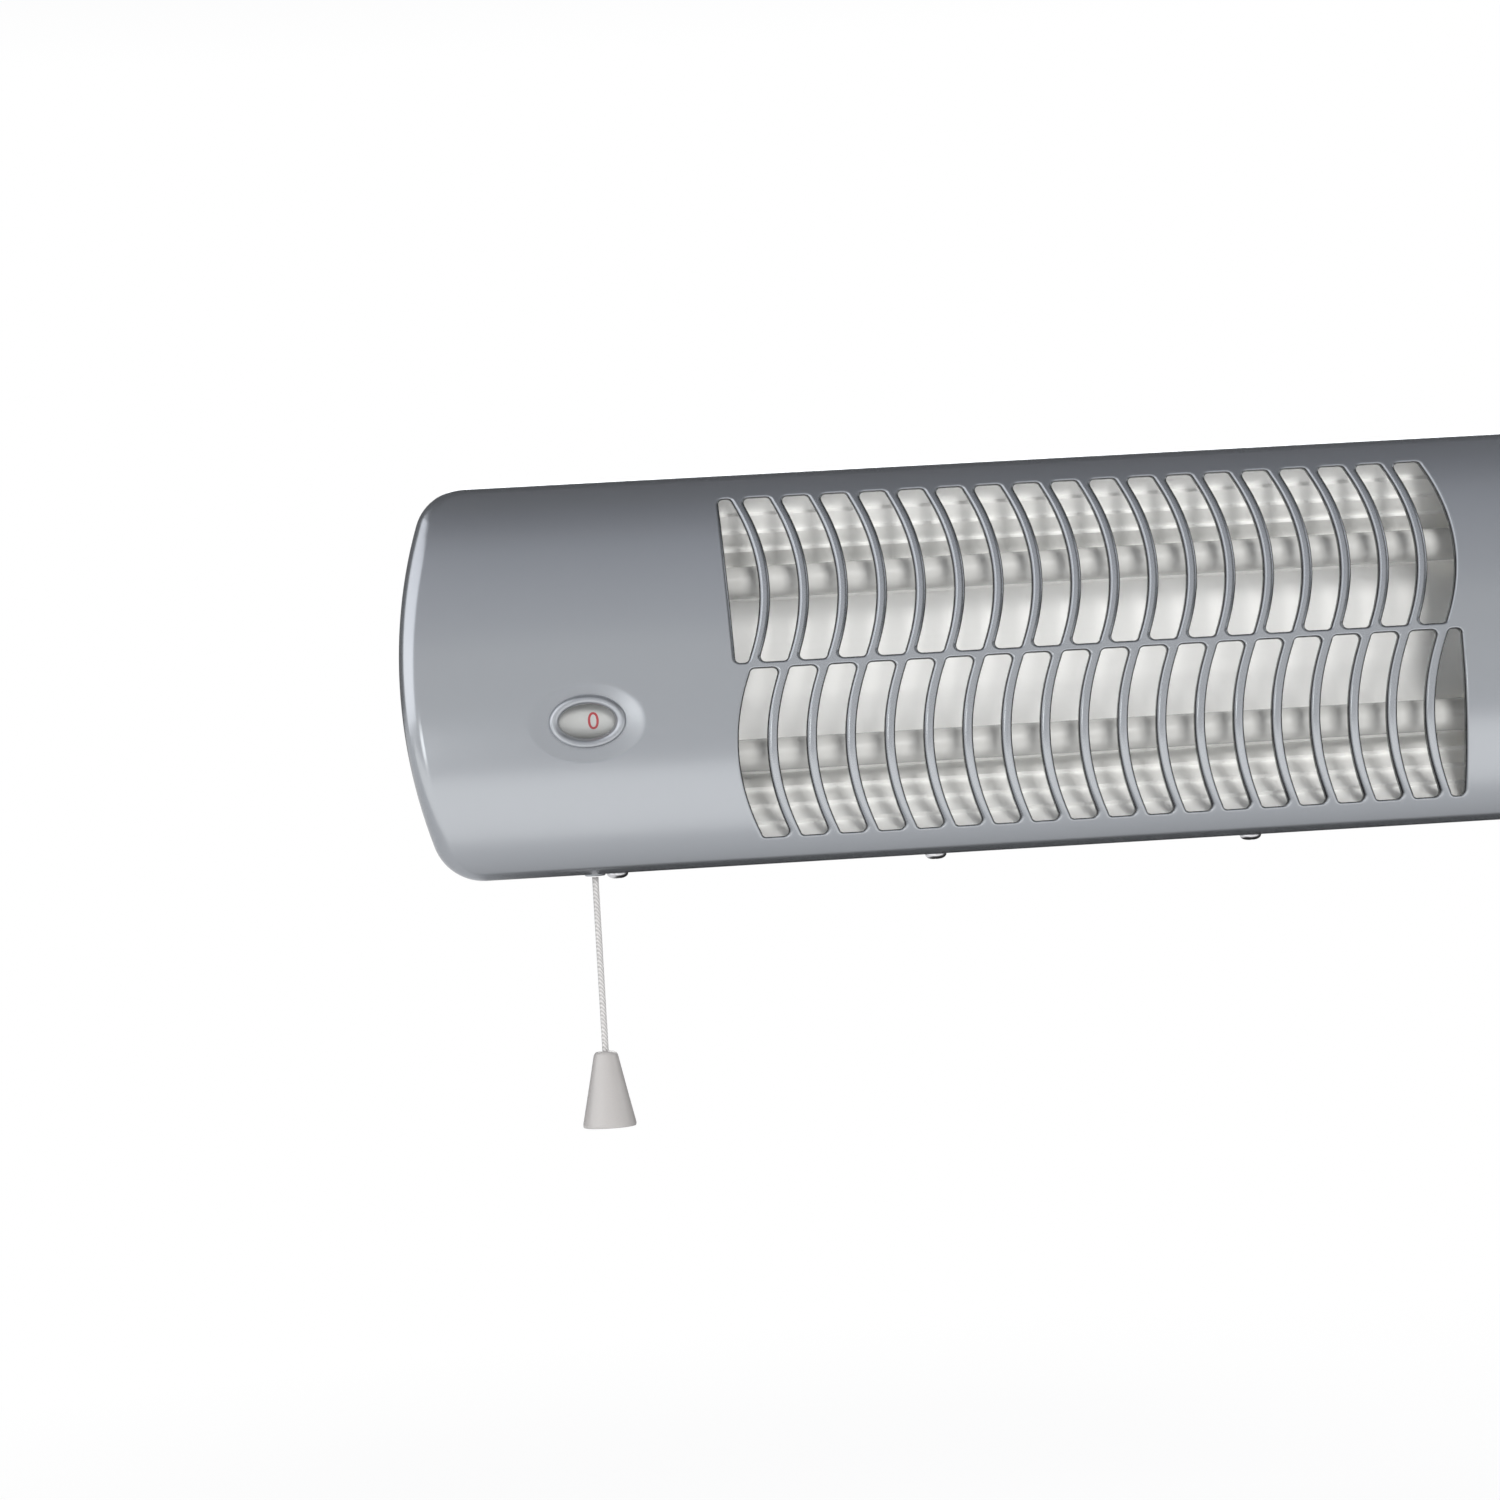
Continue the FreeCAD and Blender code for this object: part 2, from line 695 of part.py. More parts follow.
def tube_holder(side, way):
    """Upright of bent sheet on the pan, with a hole for each ceramic end."""
    inner, outer = way * holder_x, way * (holder_x + s.holder_sheet)
    angle = padded(side + "_holder_angle", "XY_Plane", [
        (inner, floor_y), (inner, -s.holder_front), (outer, -s.holder_front),
        (outer, floor_y - s.holder_sheet), (way * (holder_x + s.holder_foot), floor_y - s.holder_sheet),
        (way * (holder_x + s.holder_foot), floor_y),
    ], s.holder_height, (0, 0, 0))
    rounded(angle, s.holder_corner, lambda edge: along(edge, axis_x) and at_y(edge, -s.holder_front))
    hole_length = s.cap_inner + 2 * s.holder_sheet
    holes = [rod("%s_holder_hole_%d" % (side, i), s.cap_radius + s.fit_gap, (way * tube_half, tube_y, rise),
                 hole_length, (way, 0, 0)) for i, rise in enumerate((s.tube_rise, -s.tube_rise))]
    node(cut(side + "_tube_holder", angle, *holes), side + "_tube_holder")


def reflector():
    """Folded bright sheet: flat in the middle, ridged steps that come forward above and below."""
    wing = [(-s.reflector_depth, s.reflector_flat)]
    for step in range(reflector_steps):
        foot_y = -s.reflector_depth - (step + 1) * s.reflector_rise
        foot_z = s.reflector_flat + (step + 1) * s.reflector_step
        wing.append((foot_y - s.reflector_riser, foot_z - s.reflector_fold))
        wing.append((foot_y, foot_z))
    front = [(y, -z) for y, z in reversed(wing)] + wing
    back = [(y + s.reflector_sheet, z) for y, z in reversed(front)]
    node(padded("reflector", "YZ_Plane", front + back, 2 * holder_x, (0, 0, 0)), "reflector")


# Pull switch behind the indicator

ratchet_x = indicator_x + s.drum_width / 2
ratchet_end = ratchet_x + s.ratchet_width
half_step = math.radians(180 / ratchet_teeth)
pawl_z = drum_z + tip_radius * math.sin(half_step) + s.pawl_lash
slider_bottom = drum_z - s.slider_drop
slider_left = indicator_x - s.drum_width / 2
slider_back = slider_front + s.slider_sheet
housing_inside = (slider_left - s.housing_room, ratchet_end + s.housing_room)
housing_outside = (housing_inside[0] - s.housing_wall, housing_inside[1] + s.housing_wall)
housing_low = bottom_z + s.housing_foot_gap
floor_inside = housing_low + s.housing_wall
bush_low = bottom_z - s.bush_flange


def indicator():
    bore = s.axle_radius + s.running_gap
    half = s.drum_width / 2
    profile = [(bore, -half), (s.drum_radius, -half), (s.drum_radius, half), (bore, half)]
    node(turned("indicator_drum", profile, (indicator_x, drum_y, drum_z), (1, 0, 0)), "indicator_drum")
    length = housing_outside[1] - housing_outside[0]
    node(rod("drum_axle", s.axle_radius, (housing_outside[0], drum_y, drum_z), length, (1, 0, 0)),
         "drum_axle")


def ratchet_wheel():
    """Saw-toothed wheel; the radial side of each tooth faces the pawl above it."""
    root_radius = s.ratchet_radius - s.ratchet_tooth
    points = []
    for tooth in range(ratchet_teeth):
        angle = half_step * (2 * tooth + 1)
        for radius in (tip_radius, root_radius):
            points.append((radius * math.cos(angle), radius * math.sin(angle)))
    blank = padded("ratchet_blank", "YZ_Plane", points, s.ratchet_width,
                   (ratchet_x + s.ratchet_width / 2, drum_y, drum_z))
    bore = rod("ratchet_bore", s.axle_radius + s.running_gap, (ratchet_x, drum_y, drum_z), s.ratchet_width,
               (1, 0, 0))
    node(cut("ratchet_wheel", blank, bore), "ratchet_wheel")


def pull_slider():
    plate = box("slider_plate", (slider_left, ratchet_end), (slider_front, slider_back),
                (slider_bottom, pawl_z + s.pawl_height))
    pawl = box("slider_pawl", (ratchet_x, ratchet_end),
               (drum_y + s.ratchet_radius - s.ratchet_tooth, slider_front),
               (pawl_z, pawl_z + s.pawl_height))
    node(join("pull_slider", plate, pawl), "pull_slider")


def switch_housing():
    wall = s.housing_wall
    top = drum_z + tip_radius + s.housing_room
    case = [box("housing_case", housing_outside, (-s.housing_front, floor_y),
                (housing_low, top + wall))]
    cheek_z = (drum_z - s.cheek_height / 2, drum_z + s.cheek_height / 2)
    cheek_y = (drum_y - s.cheek_reach, -s.housing_front)
    for side, end in (("left", 0), ("right", 1)):
        x = sorted((housing_outside[end], housing_inside[end]), key=float)
        case.append(box(side + "_cheek", x, cheek_y, cheek_z))
    cavity = box("housing_cavity", housing_inside, (drum_y - s.drum_radius, floor_y - wall),
                 (floor_inside, top))
    axle_hole = rod("housing_axle_hole", s.axle_radius + s.running_gap,
                    (housing_outside[0] - wall, drum_y, drum_z),
                    housing_outside[1] - housing_outside[0] + 2 * wall, (1, 0, 0))
    cord_hole = rod("housing_cord_hole", s.cord_radius + s.cord_gap,
                    (indicator_x, cord_y, housing_low - wall), 3 * wall, (0, 0, 1))
    hollow = cut("housing_hollow", join("housing_block", *case), cavity, axle_hole, cord_hole)
    rails = []
    for side, x in (("left", slider_left), ("right", ratchet_x - wall)):
        rails.append(box(side + "_slider_rail", (x, x + wall), (slider_back + s.hole_gap, floor_y - wall),
                         (floor_inside, top)))
    node(join("switch_housing", hollow, *rails), "switch_housing")


def return_spring():
    half_wire = s.spring_wire / 2
    profile = [(s.spring_radius - half_wire, 0), (s.spring_radius + half_wire, 0),
               (s.spring_radius + half_wire, slider_bottom - floor_inside),
               (s.spring_radius - half_wire, slider_bottom - floor_inside)]
    node(turned("return_spring", profile, (indicator_x, cord_y, floor_inside), (0, 0, 1)), "return_spring")


def bezel():
    """Oval ring that stands in the dished recess, with a collar through the cover."""
    half_width, depth = float(s.dish_width) / 2, float(s.dish_depth)
    radius = (half_width ** 2 + depth ** 2) / (2 * depth)
    seat = depth - radius + math.sqrt(radius ** 2 - (float(s.bezel_width) / 2) ** 2)
    front = seat - float(s.bezel_stand + s.fit_gap)
    end = s.drum_setback - s.slider_gap
    ring = oval("bezel_ring", s.bezel_width, s.bezel_height, s.bezel_stand, front)
    collar = oval("bezel_collar", collar_width, collar_height, end - front, front)
    window = oval("bezel_window", s.window_width, s.window_height, end - front, front)
    blank = cut("bezel_blank", join("bezel_body", ring, collar), window)
    doc.recompute()
    middle = into_casing(front)
    rims = [i + 1 for i, edge in enumerate(blank.Shape.Edges)
            if isinstance(edge.Curve, Part.Ellipse) and (edge.Curve.Center - middle).Length < near_enough]
    made = doc.addObject("Part::Chamfer", "indicator_bezel")
    made.Base = blank
    made.Edges = [(rim, float(s.bezel_bevel), float(s.bezel_bevel)) for rim in rims]
    node(made, "indicator_bezel")


# Cord and knob


def cord_and_knob():
    bore = s.cord_radius + s.cord_gap
    top = bottom_z + s.bush_depth
    profile = [(bore, 0), (s.bush_flange_radius, 0), (s.bush_flange_radius, s.bush_flange),
               (s.bush_radius, s.bush_flange), (s.bush_radius, top - bush_low), (bore, top - bush_low)]
    node(turned("cord_bush", profile, (indicator_x, cord_y, bush_low), (0, 0, 1)), "cord_bush")
    node(rod("inner_cord", s.cord_radius, (indicator_x, cord_y, bush_low), slider_bottom - bush_low,
             (0, 0, 1)), "inner_cord")
    hang_z = bush_low - s.cord_radius - s.hole_gap
    knob_top = bush_low - s.cord_length
    profile = [(0, knob_top), (s.cord_radius, knob_top), (s.cord_radius, hang_z),
               (0, hang_z + s.cord_radius)]
    node(turned("pull_cord", profile, (indicator_x, cord_y, 0), (0, 0, 1)), "pull_cord")
    profile = [(0, 0), (s.knob_top_radius - s.knob_round, 0), (s.knob_top_radius, s.knob_round),
               (s.knob_base_radius, s.knob_length - s.knob_round), (s.knob_base_radius, s.knob_length),
               (0, s.knob_length)]
    knob = turned("pull_knob", profile, (indicator_x, cord_y, knob_top), (0, 0, -1))
    node(knob, "pull_knob")


# Supply side


def supply():
    bore, nut = s.gland_bore, s.gland_nut
    inside = -s.pan_sheet - s.lock_nut
    profile = [(bore, inside), (s.lock_nut_radius, inside), (s.lock_nut_radius, -s.pan_sheet),
               (s.gland_radius, -s.pan_sheet), (s.gland_radius, 0), (s.gland_nut_radius, 0),
               (s.gland_nut_radius, s.gland_flats), (s.gland_mouth_radius, nut), (bore, nut)]
    node(turned("cable_gland", profile, gland_point, (0, 1, 0)), "cable_gland")

    block_x = tube_half + s.block_offset
    half_length, half_height = s.block_length / 2, s.block_height / 2
    face = floor_y - s.block_depth
    blank = box("terminal_block", (block_x - half_length, block_x + half_length), (face, floor_y),
                (s.block_rise - half_height, s.block_rise + half_height))
    node(blank, "terminal_block")
    heads = []
    for column in (-1, 1):
        for side in (-1, 1):
            x, z = block_x + column * s.block_screw_pitch, s.block_rise + side * s.block_screw_row / 2
            heads.append(rod("block_screw_%d_%d" % (column, side), s.block_screw_radius, (x, face, z),
                             s.block_screw_head, (0, -1, 0)))
    node(group("terminal_screws", heads), "terminal_screws")

    back_of_reflector = s.reflector_sheet - s.reflector_depth
    profile = [(0, 0), (s.cutout_radius, 0), (s.cutout_radius, s.cutout_plate),
               (s.cutout_body_radius, s.cutout_plate), (s.cutout_body_radius, s.cutout_body),
               (0, s.cutout_body)]
    node(turned("thermal_cutout", profile, (0, back_of_reflector, 0), (0, 1, 0)), "thermal_cutout")
    node(screw("earth_screw", earth_point, (0, 1, 0)), "earth_screw")


front_cover()
back_pan()
cover_screws()
wall_bracket()
hinge_lug("left", -1)
hinge_lug("right", 1)
pivots()
tubes()
tube_holder("left", -1)
tube_holder("right", 1)
reflector()
indicator()
ratchet_wheel()
pull_slider()
switch_housing()
return_spring()
bezel()
cord_and_knob()
supply()

doc.recompute()
for thing in doc.Objects:
    failed = [word for word in thing.State if word in ("Invalid", "Error")]
    if failed:
        raise RuntimeError("%s: %s" % (thing.Label, failed))
os.makedirs("parts", exist_ok=True)
for thing in nodes:
    if thing.Shape.isNull() or not thing.Shape.isValid() or not thing.Shape.Solids:
        raise RuntimeError("bad shape: " + thing.Label)
    thing.Shape.exportStep("parts/%s.step" % thing.Label)
print(len(nodes), "sub-parts written")
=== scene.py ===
import bmesh
import bpy
import json
import math
from mathutils import Matrix, Vector


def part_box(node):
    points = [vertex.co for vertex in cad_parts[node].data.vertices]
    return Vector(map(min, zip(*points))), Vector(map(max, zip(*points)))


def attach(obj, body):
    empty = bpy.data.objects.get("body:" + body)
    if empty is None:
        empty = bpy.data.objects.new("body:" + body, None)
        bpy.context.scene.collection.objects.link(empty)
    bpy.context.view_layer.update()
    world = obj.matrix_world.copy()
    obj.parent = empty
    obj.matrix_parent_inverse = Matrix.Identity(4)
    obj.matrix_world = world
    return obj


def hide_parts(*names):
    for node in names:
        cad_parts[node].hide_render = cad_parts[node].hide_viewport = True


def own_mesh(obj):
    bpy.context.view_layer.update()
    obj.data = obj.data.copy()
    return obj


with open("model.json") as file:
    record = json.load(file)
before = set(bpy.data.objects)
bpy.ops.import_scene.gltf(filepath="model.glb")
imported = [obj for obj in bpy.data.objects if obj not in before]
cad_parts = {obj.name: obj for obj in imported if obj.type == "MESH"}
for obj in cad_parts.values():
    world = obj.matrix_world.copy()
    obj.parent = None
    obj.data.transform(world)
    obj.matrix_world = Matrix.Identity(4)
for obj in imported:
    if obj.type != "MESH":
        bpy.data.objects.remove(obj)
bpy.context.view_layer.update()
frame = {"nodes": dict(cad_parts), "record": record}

nodes = frame["nodes"]
scene = bpy.context.scene
print("frame loaded,", len(nodes), "nodes")

mm = 0.001
weld = 0.005 * mm  # points of a fine piece that lie closer than this become one


# shader nodes in short: an input takes a plain value or the output of another node


def plug(tree, socket, value):
    if hasattr(value, "is_output"):
        tree.links.new(value, socket)
    else:
        socket.default_value = value


def addNode(tree, kind, plugs=None, **settings):
    made = tree.nodes.new("ShaderNode" + kind)
    for word, value in settings.items():
        setattr(made, word, value)
    for word, value in (plugs or {}).items():
        plug(tree, made.inputs[word], value)
    return made


def reckon(tree, operation, first, second):
    return addNode(tree, "Math", {0: first, 1: second}, operation=operation).outputs[0]


def mixed(tree, share, first, second, kind="RGBA"):
    return addNode(tree, "Mix", {"Factor": share, "A": first, "B": second}, data_type=kind).outputs["Result"]


def ranged(tree, value, low, high, start=0.0, end=1.0, curve="LINEAR"):
    # spreads what lies from start to end between two numbers
    plugs = {"Value": value, "From Min": start, "From Max": end, "To Min": low, "To Max": high}
    return addNode(tree, "MapRange", plugs, interpolation_type=curve).outputs["Result"]


# camera, light and floor

camera = {
    "azimuth": -3.54, "elevation": -1.29, "roll": -3.44, "distance": 1.3, "nearest": 0.05,
    "aim": (-0.12895, -0.070, -0.03004), "focalPixels": 3515.7, "imagePixels": 1500, "sensor": 36.0,
}


def placeCamera(look):
    az, el, roll = (math.radians(look[word]) for word in ("azimuth", "elevation", "roll"))
    back = Vector((math.sin(az) * math.cos(el), -math.cos(az) * math.cos(el), math.sin(el)))
    level = Vector((0, 0, 1)).cross(back).normalized()
    rise = back.cross(level)
    right = level * math.cos(roll) + rise * math.sin(roll)
    up = rise * math.cos(roll) - level * math.sin(roll)
    place = Vector(look["aim"]) + back * look["distance"]
    data = bpy.data.cameras.new("photoCamera")
    data.sensor_width = look["sensor"]
    data.lens = look["focalPixels"] / look["imagePixels"] * look["sensor"]
    data.clip_start = look["nearest"]
    thing = bpy.data.objects.new("photoCamera", data)
    scene.collection.objects.link(thing)
    turn = Matrix((right, up, back)).transposed().to_4x4()
    thing.matrix_world = Matrix.Translation(place) @ turn
    scene.camera = thing


placeCamera(camera)
scene.view_settings.view_transform = "Standard"

# each fall says where a mirror starts to lose the light, where it stops, and the share that is left
studio = {
    "white": (1.0, 1.0, 1.0, 1), "ambient": 0.30, "ambientColour": (0.95, 0.97, 1.0, 1),
    "ceiling": [(0.22, 1.0), (0.36, 0.84), (0.60, 0.70), (0.78, 0.54), (0.90, 0.23), (0.98, 0.06)],
    "ceilingTint": (0.94, 0.98, 1.12), "rearFall": (0.0, 0.4, 0.16), "rightFall": (0.24, 0.62, 0.12),
    "floorHeight": -0.42, "floorSize": 14.0, "floorColour": (0.86, 0.86, 0.87), "floorNear": 0.72,
    "floorFade": (0.3, 1.2), "underFall": (-0.25, -0.07, 0.03), "leftFall": (-0.28, -0.20, 0.03),
}


def emptyTree(owner):
    owner.use_nodes = True
    owner.node_tree.nodes.clear()
    return owner.node_tree


def backgroundRay(tree):
    # camera, mirror and see-through rays meet the white backdrop
    path = addNode(tree, "LightPath").outputs
    seen = reckon(tree, "MAXIMUM", path["Is Camera Ray"], path["Is Glossy Ray"])
    return reckon(tree, "MAXIMUM", seen, path["Is Transmission Ray"])


def mirrorShade(tree, value, start, end, share):
    # 1 for the camera; in a mirror it falls to a share, so that metal edges keep their dark line
    fall = ranged(tree, value, 1.0, share, start, end, "SMOOTHSTEP")
    return mixed(tree, addNode(tree, "LightPath").outputs["Is Glossy Ray"], 1.0, fall, "FLOAT")


def lightTheRoom(look):
    world = bpy.data.worlds.new("studioRoom")
    scene.world = world
    tree = emptyTree(world)
    split = addNode(tree, "SeparateXYZ", {0: addNode(tree, "TexCoord").outputs["Generated"]}).outputs
    ramp = addNode(tree, "ValToRGB", {"Fac": split["Z"]})
    stops = ramp.color_ramp.elements
    while len(stops) < len(look["ceiling"]):
        stops.new(1.0)
    for stop, (place, level) in zip(stops, look["ceiling"]):
        stop.position = place
        shade = [level + (level * part - level) * (1 - level) for part in look["ceilingTint"]]
        stop.color = (*shade, 1)
    rear = mirrorShade(tree, split["Y"], *look["rearFall"])
    right = mirrorShade(tree, split["X"], *look["rightFall"])
    both = reckon(tree, "MULTIPLY", rear, right)
    soft = addNode(tree, "Background", {"Color": look["ambientColour"], "Strength": look["ambient"]})
    backdrop = addNode(tree, "Background", {"Color": ramp.outputs["Color"], "Strength": both})
    mix = addNode(tree, "MixShader", {0: backgroundRay(tree), 1: soft.outputs[0], 2: backdrop.outputs[0]})
    addNode(tree, "OutputWorld", {"Surface": mix.outputs[0]})


def layFloor(look):
    # matt, and white to the camera and in mirrors, except for a painted shade that darkens the floor in
    # mirrors beneath and behind the heater; clear from below
    bpy.ops.object.select_all(action="DESELECT")
    bpy.ops.mesh.primitive_plane_add(size=look["floorSize"], location=(0, 0, look["floorHeight"]))
    floor = bpy.context.object
    floor.name = "paleFloor"
    paint = bpy.data.materials.new("paleFloor")
    tree = emptyTree(paint)
    place = addNode(tree, "TexCoord").outputs["Object"]
    split = addNode(tree, "SeparateXYZ", {0: place}).outputs
    reach = addNode(tree, "VectorMath", {0: place}, operation="LENGTH").outputs["Value"]
    fade = ranged(tree, reach, look["floorNear"], 1.0, *look["floorFade"])
    share = reckon(tree, "MULTIPLY", backgroundRay(tree), fade)
    # painted shade: in mirrors only, the floor goes dark beneath and behind the heater, except to its left,
    # so the casing's rolled edges show a dark line
    under = mirrorShade(tree, split["Y"], *look["underFall"])
    aside = mirrorShade(tree, split["X"], *look["leftFall"])
    mirrorUnderShade = reckon(tree, "MAXIMUM", under, aside)
    tone = addNode(tree, "VectorMath", {0: look["floorColour"], "Scale": mirrorUnderShade}, operation="SCALE")
    matt = addNode(tree, "BsdfDiffuse", {"Color": tone.outputs[0]})
    glow = addNode(tree, "Emission", {"Color": look["white"], "Strength": mirrorUnderShade})
    mix = addNode(tree, "MixShader", {0: share, 1: matt.outputs[0], 2: glow.outputs[0]})
    below = addNode(tree, "NewGeometry").outputs["Backfacing"]
    clear = addNode(tree, "BsdfTransparent")
    oneSided = addNode(tree, "MixShader", {0: below, 1: mix.outputs[0], 2: clear.outputs[0]})
    addNode(tree, "OutputMaterial", {"Surface": oneSided.outputs[0]})
    floor.data.materials.append(paint)


lamps = [
    {"name": "lowStrip", "place": (-0.1, -0.50, -0.41), "aim": (-0.1, -0.50, 0.5), "size": (2.6, 0.40),
     "watts": 2.4, "colour": (1.0, 0.99, 0.94)},
    {"name": "lowLeftBox", "place": (-0.445, -0.88, -0.385), "aim": (-0.19, -0.09, -0.017),
     "size": (0.24, 0.33), "watts": 0.68, "colour": (1.0, 1.0, 0.96)},
    {"name": "keyBox", "place": (0.58, -4.0, 1.65), "aim": (0.0, -0.07, 0.0), "size": (0.95, 1.3),
     "watts": 140, "colour": (1.0, 0.99, 0.97), "glint": False},
    {"name": "sideSoftbox", "place": (-1.40, -0.66, 0.62), "aim": (-0.2, -0.07, 0.0), "size": (2.0, 2.2),
     "watts": 19, "colour": (1.0, 1.0, 1.0)},
    {"name": "rightSoftbox", "place": (1.8, -0.3, 0.7), "aim": (0.0, -0.07, 0.0), "size": (0.9, 0.9),
     "watts": 5, "colour": (1.0, 1.0, 1.0)},
    {"name": "rearSoftbox", "place": (0.3, 1.7, 0.9), "aim": (0.0, 0.0, 0.0), "size": (1.6, 1.0),
     "watts": 18, "colour": (1.0, 1.0, 1.0)},
]


def hangLamps(rows):
    for row in rows:
        data = bpy.data.lights.new(row["name"], "AREA")
        data.shape = "RECTANGLE"
        data.size, data.size_y = row["size"]
        data.energy = row["watts"]
        data.color = row["colour"]
        lamp = bpy.data.objects.new(row["name"], data)
        scene.collection.objects.link(lamp)
        lamp.visible_camera = False
        lamp.visible_glossy = row.get("glint", True)
        # without this line a lamp that mirrors don't see leaves rare white specks in the paint
        data.cycles.use_multiple_importance_sampling = lamp.visible_glossy
        lamp.location = row["place"]
        way = Vector(row["aim"]) - Vector(row["place"])
        lamp.rotation_euler = way.to_track_quat("-Z", "Y").to_euler()


lightTheRoom(studio)
layFloor(studio)
hangLamps(lamps)
print("camera, room and floor set")


# finishes: shared effects first, then one material for each slot


def newGroup(name, inputs, outputs):
    group = bpy.data.node_groups.new(name, "ShaderNodeTree")
    for word, kind, value in inputs:
        socket = group.interface.new_socket(name=word, in_out="INPUT", socket_type=kind)
        socket.default_value = value
    for word in outputs:
        group.interface.new_socket(name=word, in_out="OUTPUT", socket_type="NodeSocketFloat")
    start, end = group.nodes.new("NodeGroupInput"), group.nodes.new("NodeGroupOutput")
    return group, start.outputs, end.inputs


def makeNoise(tree, place, scale, detail):
    return addNode(tree, "TexNoise", {"Vector": place, "Scale": scale, "Detail": detail}).outputs["Fac"]


def makeCloudGroup():
    # slow patches and fine specks on object coordinates
    group, start, end = newGroup(
        "patchesAndSpecks",
        [("Patch Scale", "NodeSocketFloat", 20.0), ("Speck Scale", "NodeSocketFloat", 900.0)],
        ["Patches", "Specks", "Height"],
    )
    place = addNode(group, "TexCoord").outputs["Object"]
    patch = makeNoise(group, place, start["Patch Scale"], 3.0)
    speck = makeNoise(group, place, start["Speck Scale"], 2.0)
    plug(group, end["Patches"], patch)
    plug(group, end["Specks"], speck)
    plug(group, end["Height"], reckon(group, "ADD", patch, speck))
    return group


def makeStreakGroup():
    # rolling or drawing marks along one axis
    group, start, end = newGroup(
        "rolledStreaks",
        [("Stretch", "NodeSocketVector", (8.0, 600.0, 600.0)), ("Scale", "NodeSocketFloat", 1.0)],
        ["Streaks"],
    )
    place = addNode(group, "TexCoord").outputs["Object"]
    drawn = addNode(group, "VectorMath", {0: place, 1: start["Stretch"]}, operation="MULTIPLY").outputs[0]
    plug(group, end["Streaks"], makeNoise(group, drawn, start["Scale"], 4.0))
    return group


cloudGroup = makeCloudGroup()
streakGroup = makeStreakGroup()


def newFinish(name, metallic=0.0, coat=0.0, ior=1.5):
    finish = bpy.data.materials.new(name)
    finish.use_nodes = True
    tree = finish.node_tree
    skin = tree.nodes["Principled BSDF"].inputs
    skin["Metallic"].default_value = metallic
    skin["Coat Weight"].default_value = coat
    skin["IOR"].default_value = ior
    return finish, tree, skin


def useClouds(tree, patchScale, speckScale):
    plugs = {"Patch Scale": patchScale, "Speck Scale": speckScale}
    return addNode(tree, "Group", plugs, node_tree=cloudGroup).outputs


def useStreaks(tree, stretch):
    return addNode(tree, "Group", {"Stretch": stretch}, node_tree=streakGroup).outputs["Streaks"]


def coatSkin(tree, skin, colour, roughness, height, bump, distance=0.1 * mm):
    plug(tree, skin["Base Color"], colour)
    plug(tree, skin["Roughness"], roughness)
    relief = addNode(tree, "Bump", {"Strength": bump, "Distance": distance, "Height": height})
    plug(tree, skin["Normal"], relief.outputs["Normal"])


def cloudyFinish(name, dark, light, roughness, metallic=0.0, coat=0.0, patchScale=25.0, speckScale=700.0,
                 bump=0.15, speckShare=0.4):
    # a base colour that drifts between two tones, with a fine grain
    finish, tree, skin = newFinish(name, metallic, coat)
    clouds = useClouds(tree, patchScale, speckScale)
    grain = mixed(tree, speckShare, clouds["Patches"], clouds["Specks"], "FLOAT")
    coatSkin(tree, skin, mixed(tree, grain, (*dark, 1), (*light, 1)),
             ranged(tree, clouds["Patches"], *roughness), clouds["Height"], bump)
    return finish


def makeReflectorFinish():
    # rolled aluminium: streaks along its length over slow patches
    finish, tree, skin = newFinish("brightAluminium", metallic=0.45)
    streaks = useStreaks(tree, (5.0, 500.0, 500.0))
    grain = mixed(tree, 0.5, useClouds(tree, 14.0, 500.0)["Patches"], streaks, "FLOAT")
    coatSkin(tree, skin, mixed(tree, grain, (0.92, 0.92, 0.90, 1), (0.97, 0.97, 0.96, 1)),
             ranged(tree, streaks, 0.28, 0.36), streaks, 0.003)
    return finish


def makeCasingPaint():
    # satin silver paint: flakes in the colour, a trace of orange peel, and painted shade: near-black where a
    # lip turns in
    finish, tree, skin = newFinish("casingPaint", metallic=0.82)
    clouds = useClouds(tree, 16.0, 1900.0)
    peel = useClouds(tree, 260.0, 520.0)
    flakes = ranged(tree, clouds["Specks"], 0.05, 0.95)
    silver = mixed(tree, flakes, (0.298, 0.312, 0.336, 1), (0.324, 0.340, 0.364, 1))
    # painted shade: the lip attribute mixes the silver towards near-black on the grille's turned-in lips
    lip = addNode(tree, "Attribute", attribute_name="paintedLipShade").outputs["Fac"]
    coatSkin(tree, skin, mixed(tree, lip, silver, (0.030, 0.031, 0.034, 1)),
             ranged(tree, clouds["Patches"], 0.17, 0.25), peel["Height"], 0.012)
    return finish


def makeSpangle():
    # hot-dip zinc: crystals that catch the light differently
    finish, tree, skin = newFinish("zincSpangle", metallic=0.5)
    place = addNode(tree, "TexCoord").outputs["Object"]
    cells = addNode(tree, "TexVoronoi", {"Vector": place, "Scale": 190.0})
    crystal = addNode(tree, "SeparateColor", {"Color": cells.outputs["Color"]}).outputs
    clouds = useClouds(tree, 22.0, 900.0)
    tone = mixed(tree, crystal["Red"], (0.56, 0.57, 0.58, 1), (0.64, 0.65, 0.67, 1))
    coatSkin(tree, skin, mixed(tree, clouds["Patches"], tone, (0.60, 0.61, 0.62, 1)),
             ranged(tree, crystal["Green"], 0.36, 0.44), clouds["Specks"], 0.05)
    return finish


def makeQuartz():
    # milky fused quartz: white body, glossy skin, faint draw lines along the tube
    finish, tree, skin = newFinish("milkyQuartz", ior=1.46)
    streaks = useStreaks(tree, (6.0, 900.0, 900.0))
    clouds = useClouds(tree, 60.0, 900.0)
    coatSkin(tree, skin, mixed(tree, clouds["Patches"], (0.54, 0.54, 0.527, 1), (0.61, 0.61, 0.597, 1)),
             ranged(tree, streaks, 0.12, 0.24), streaks, 0.05)
    skin["Transmission Weight"].default_value = 0.10
    return finish


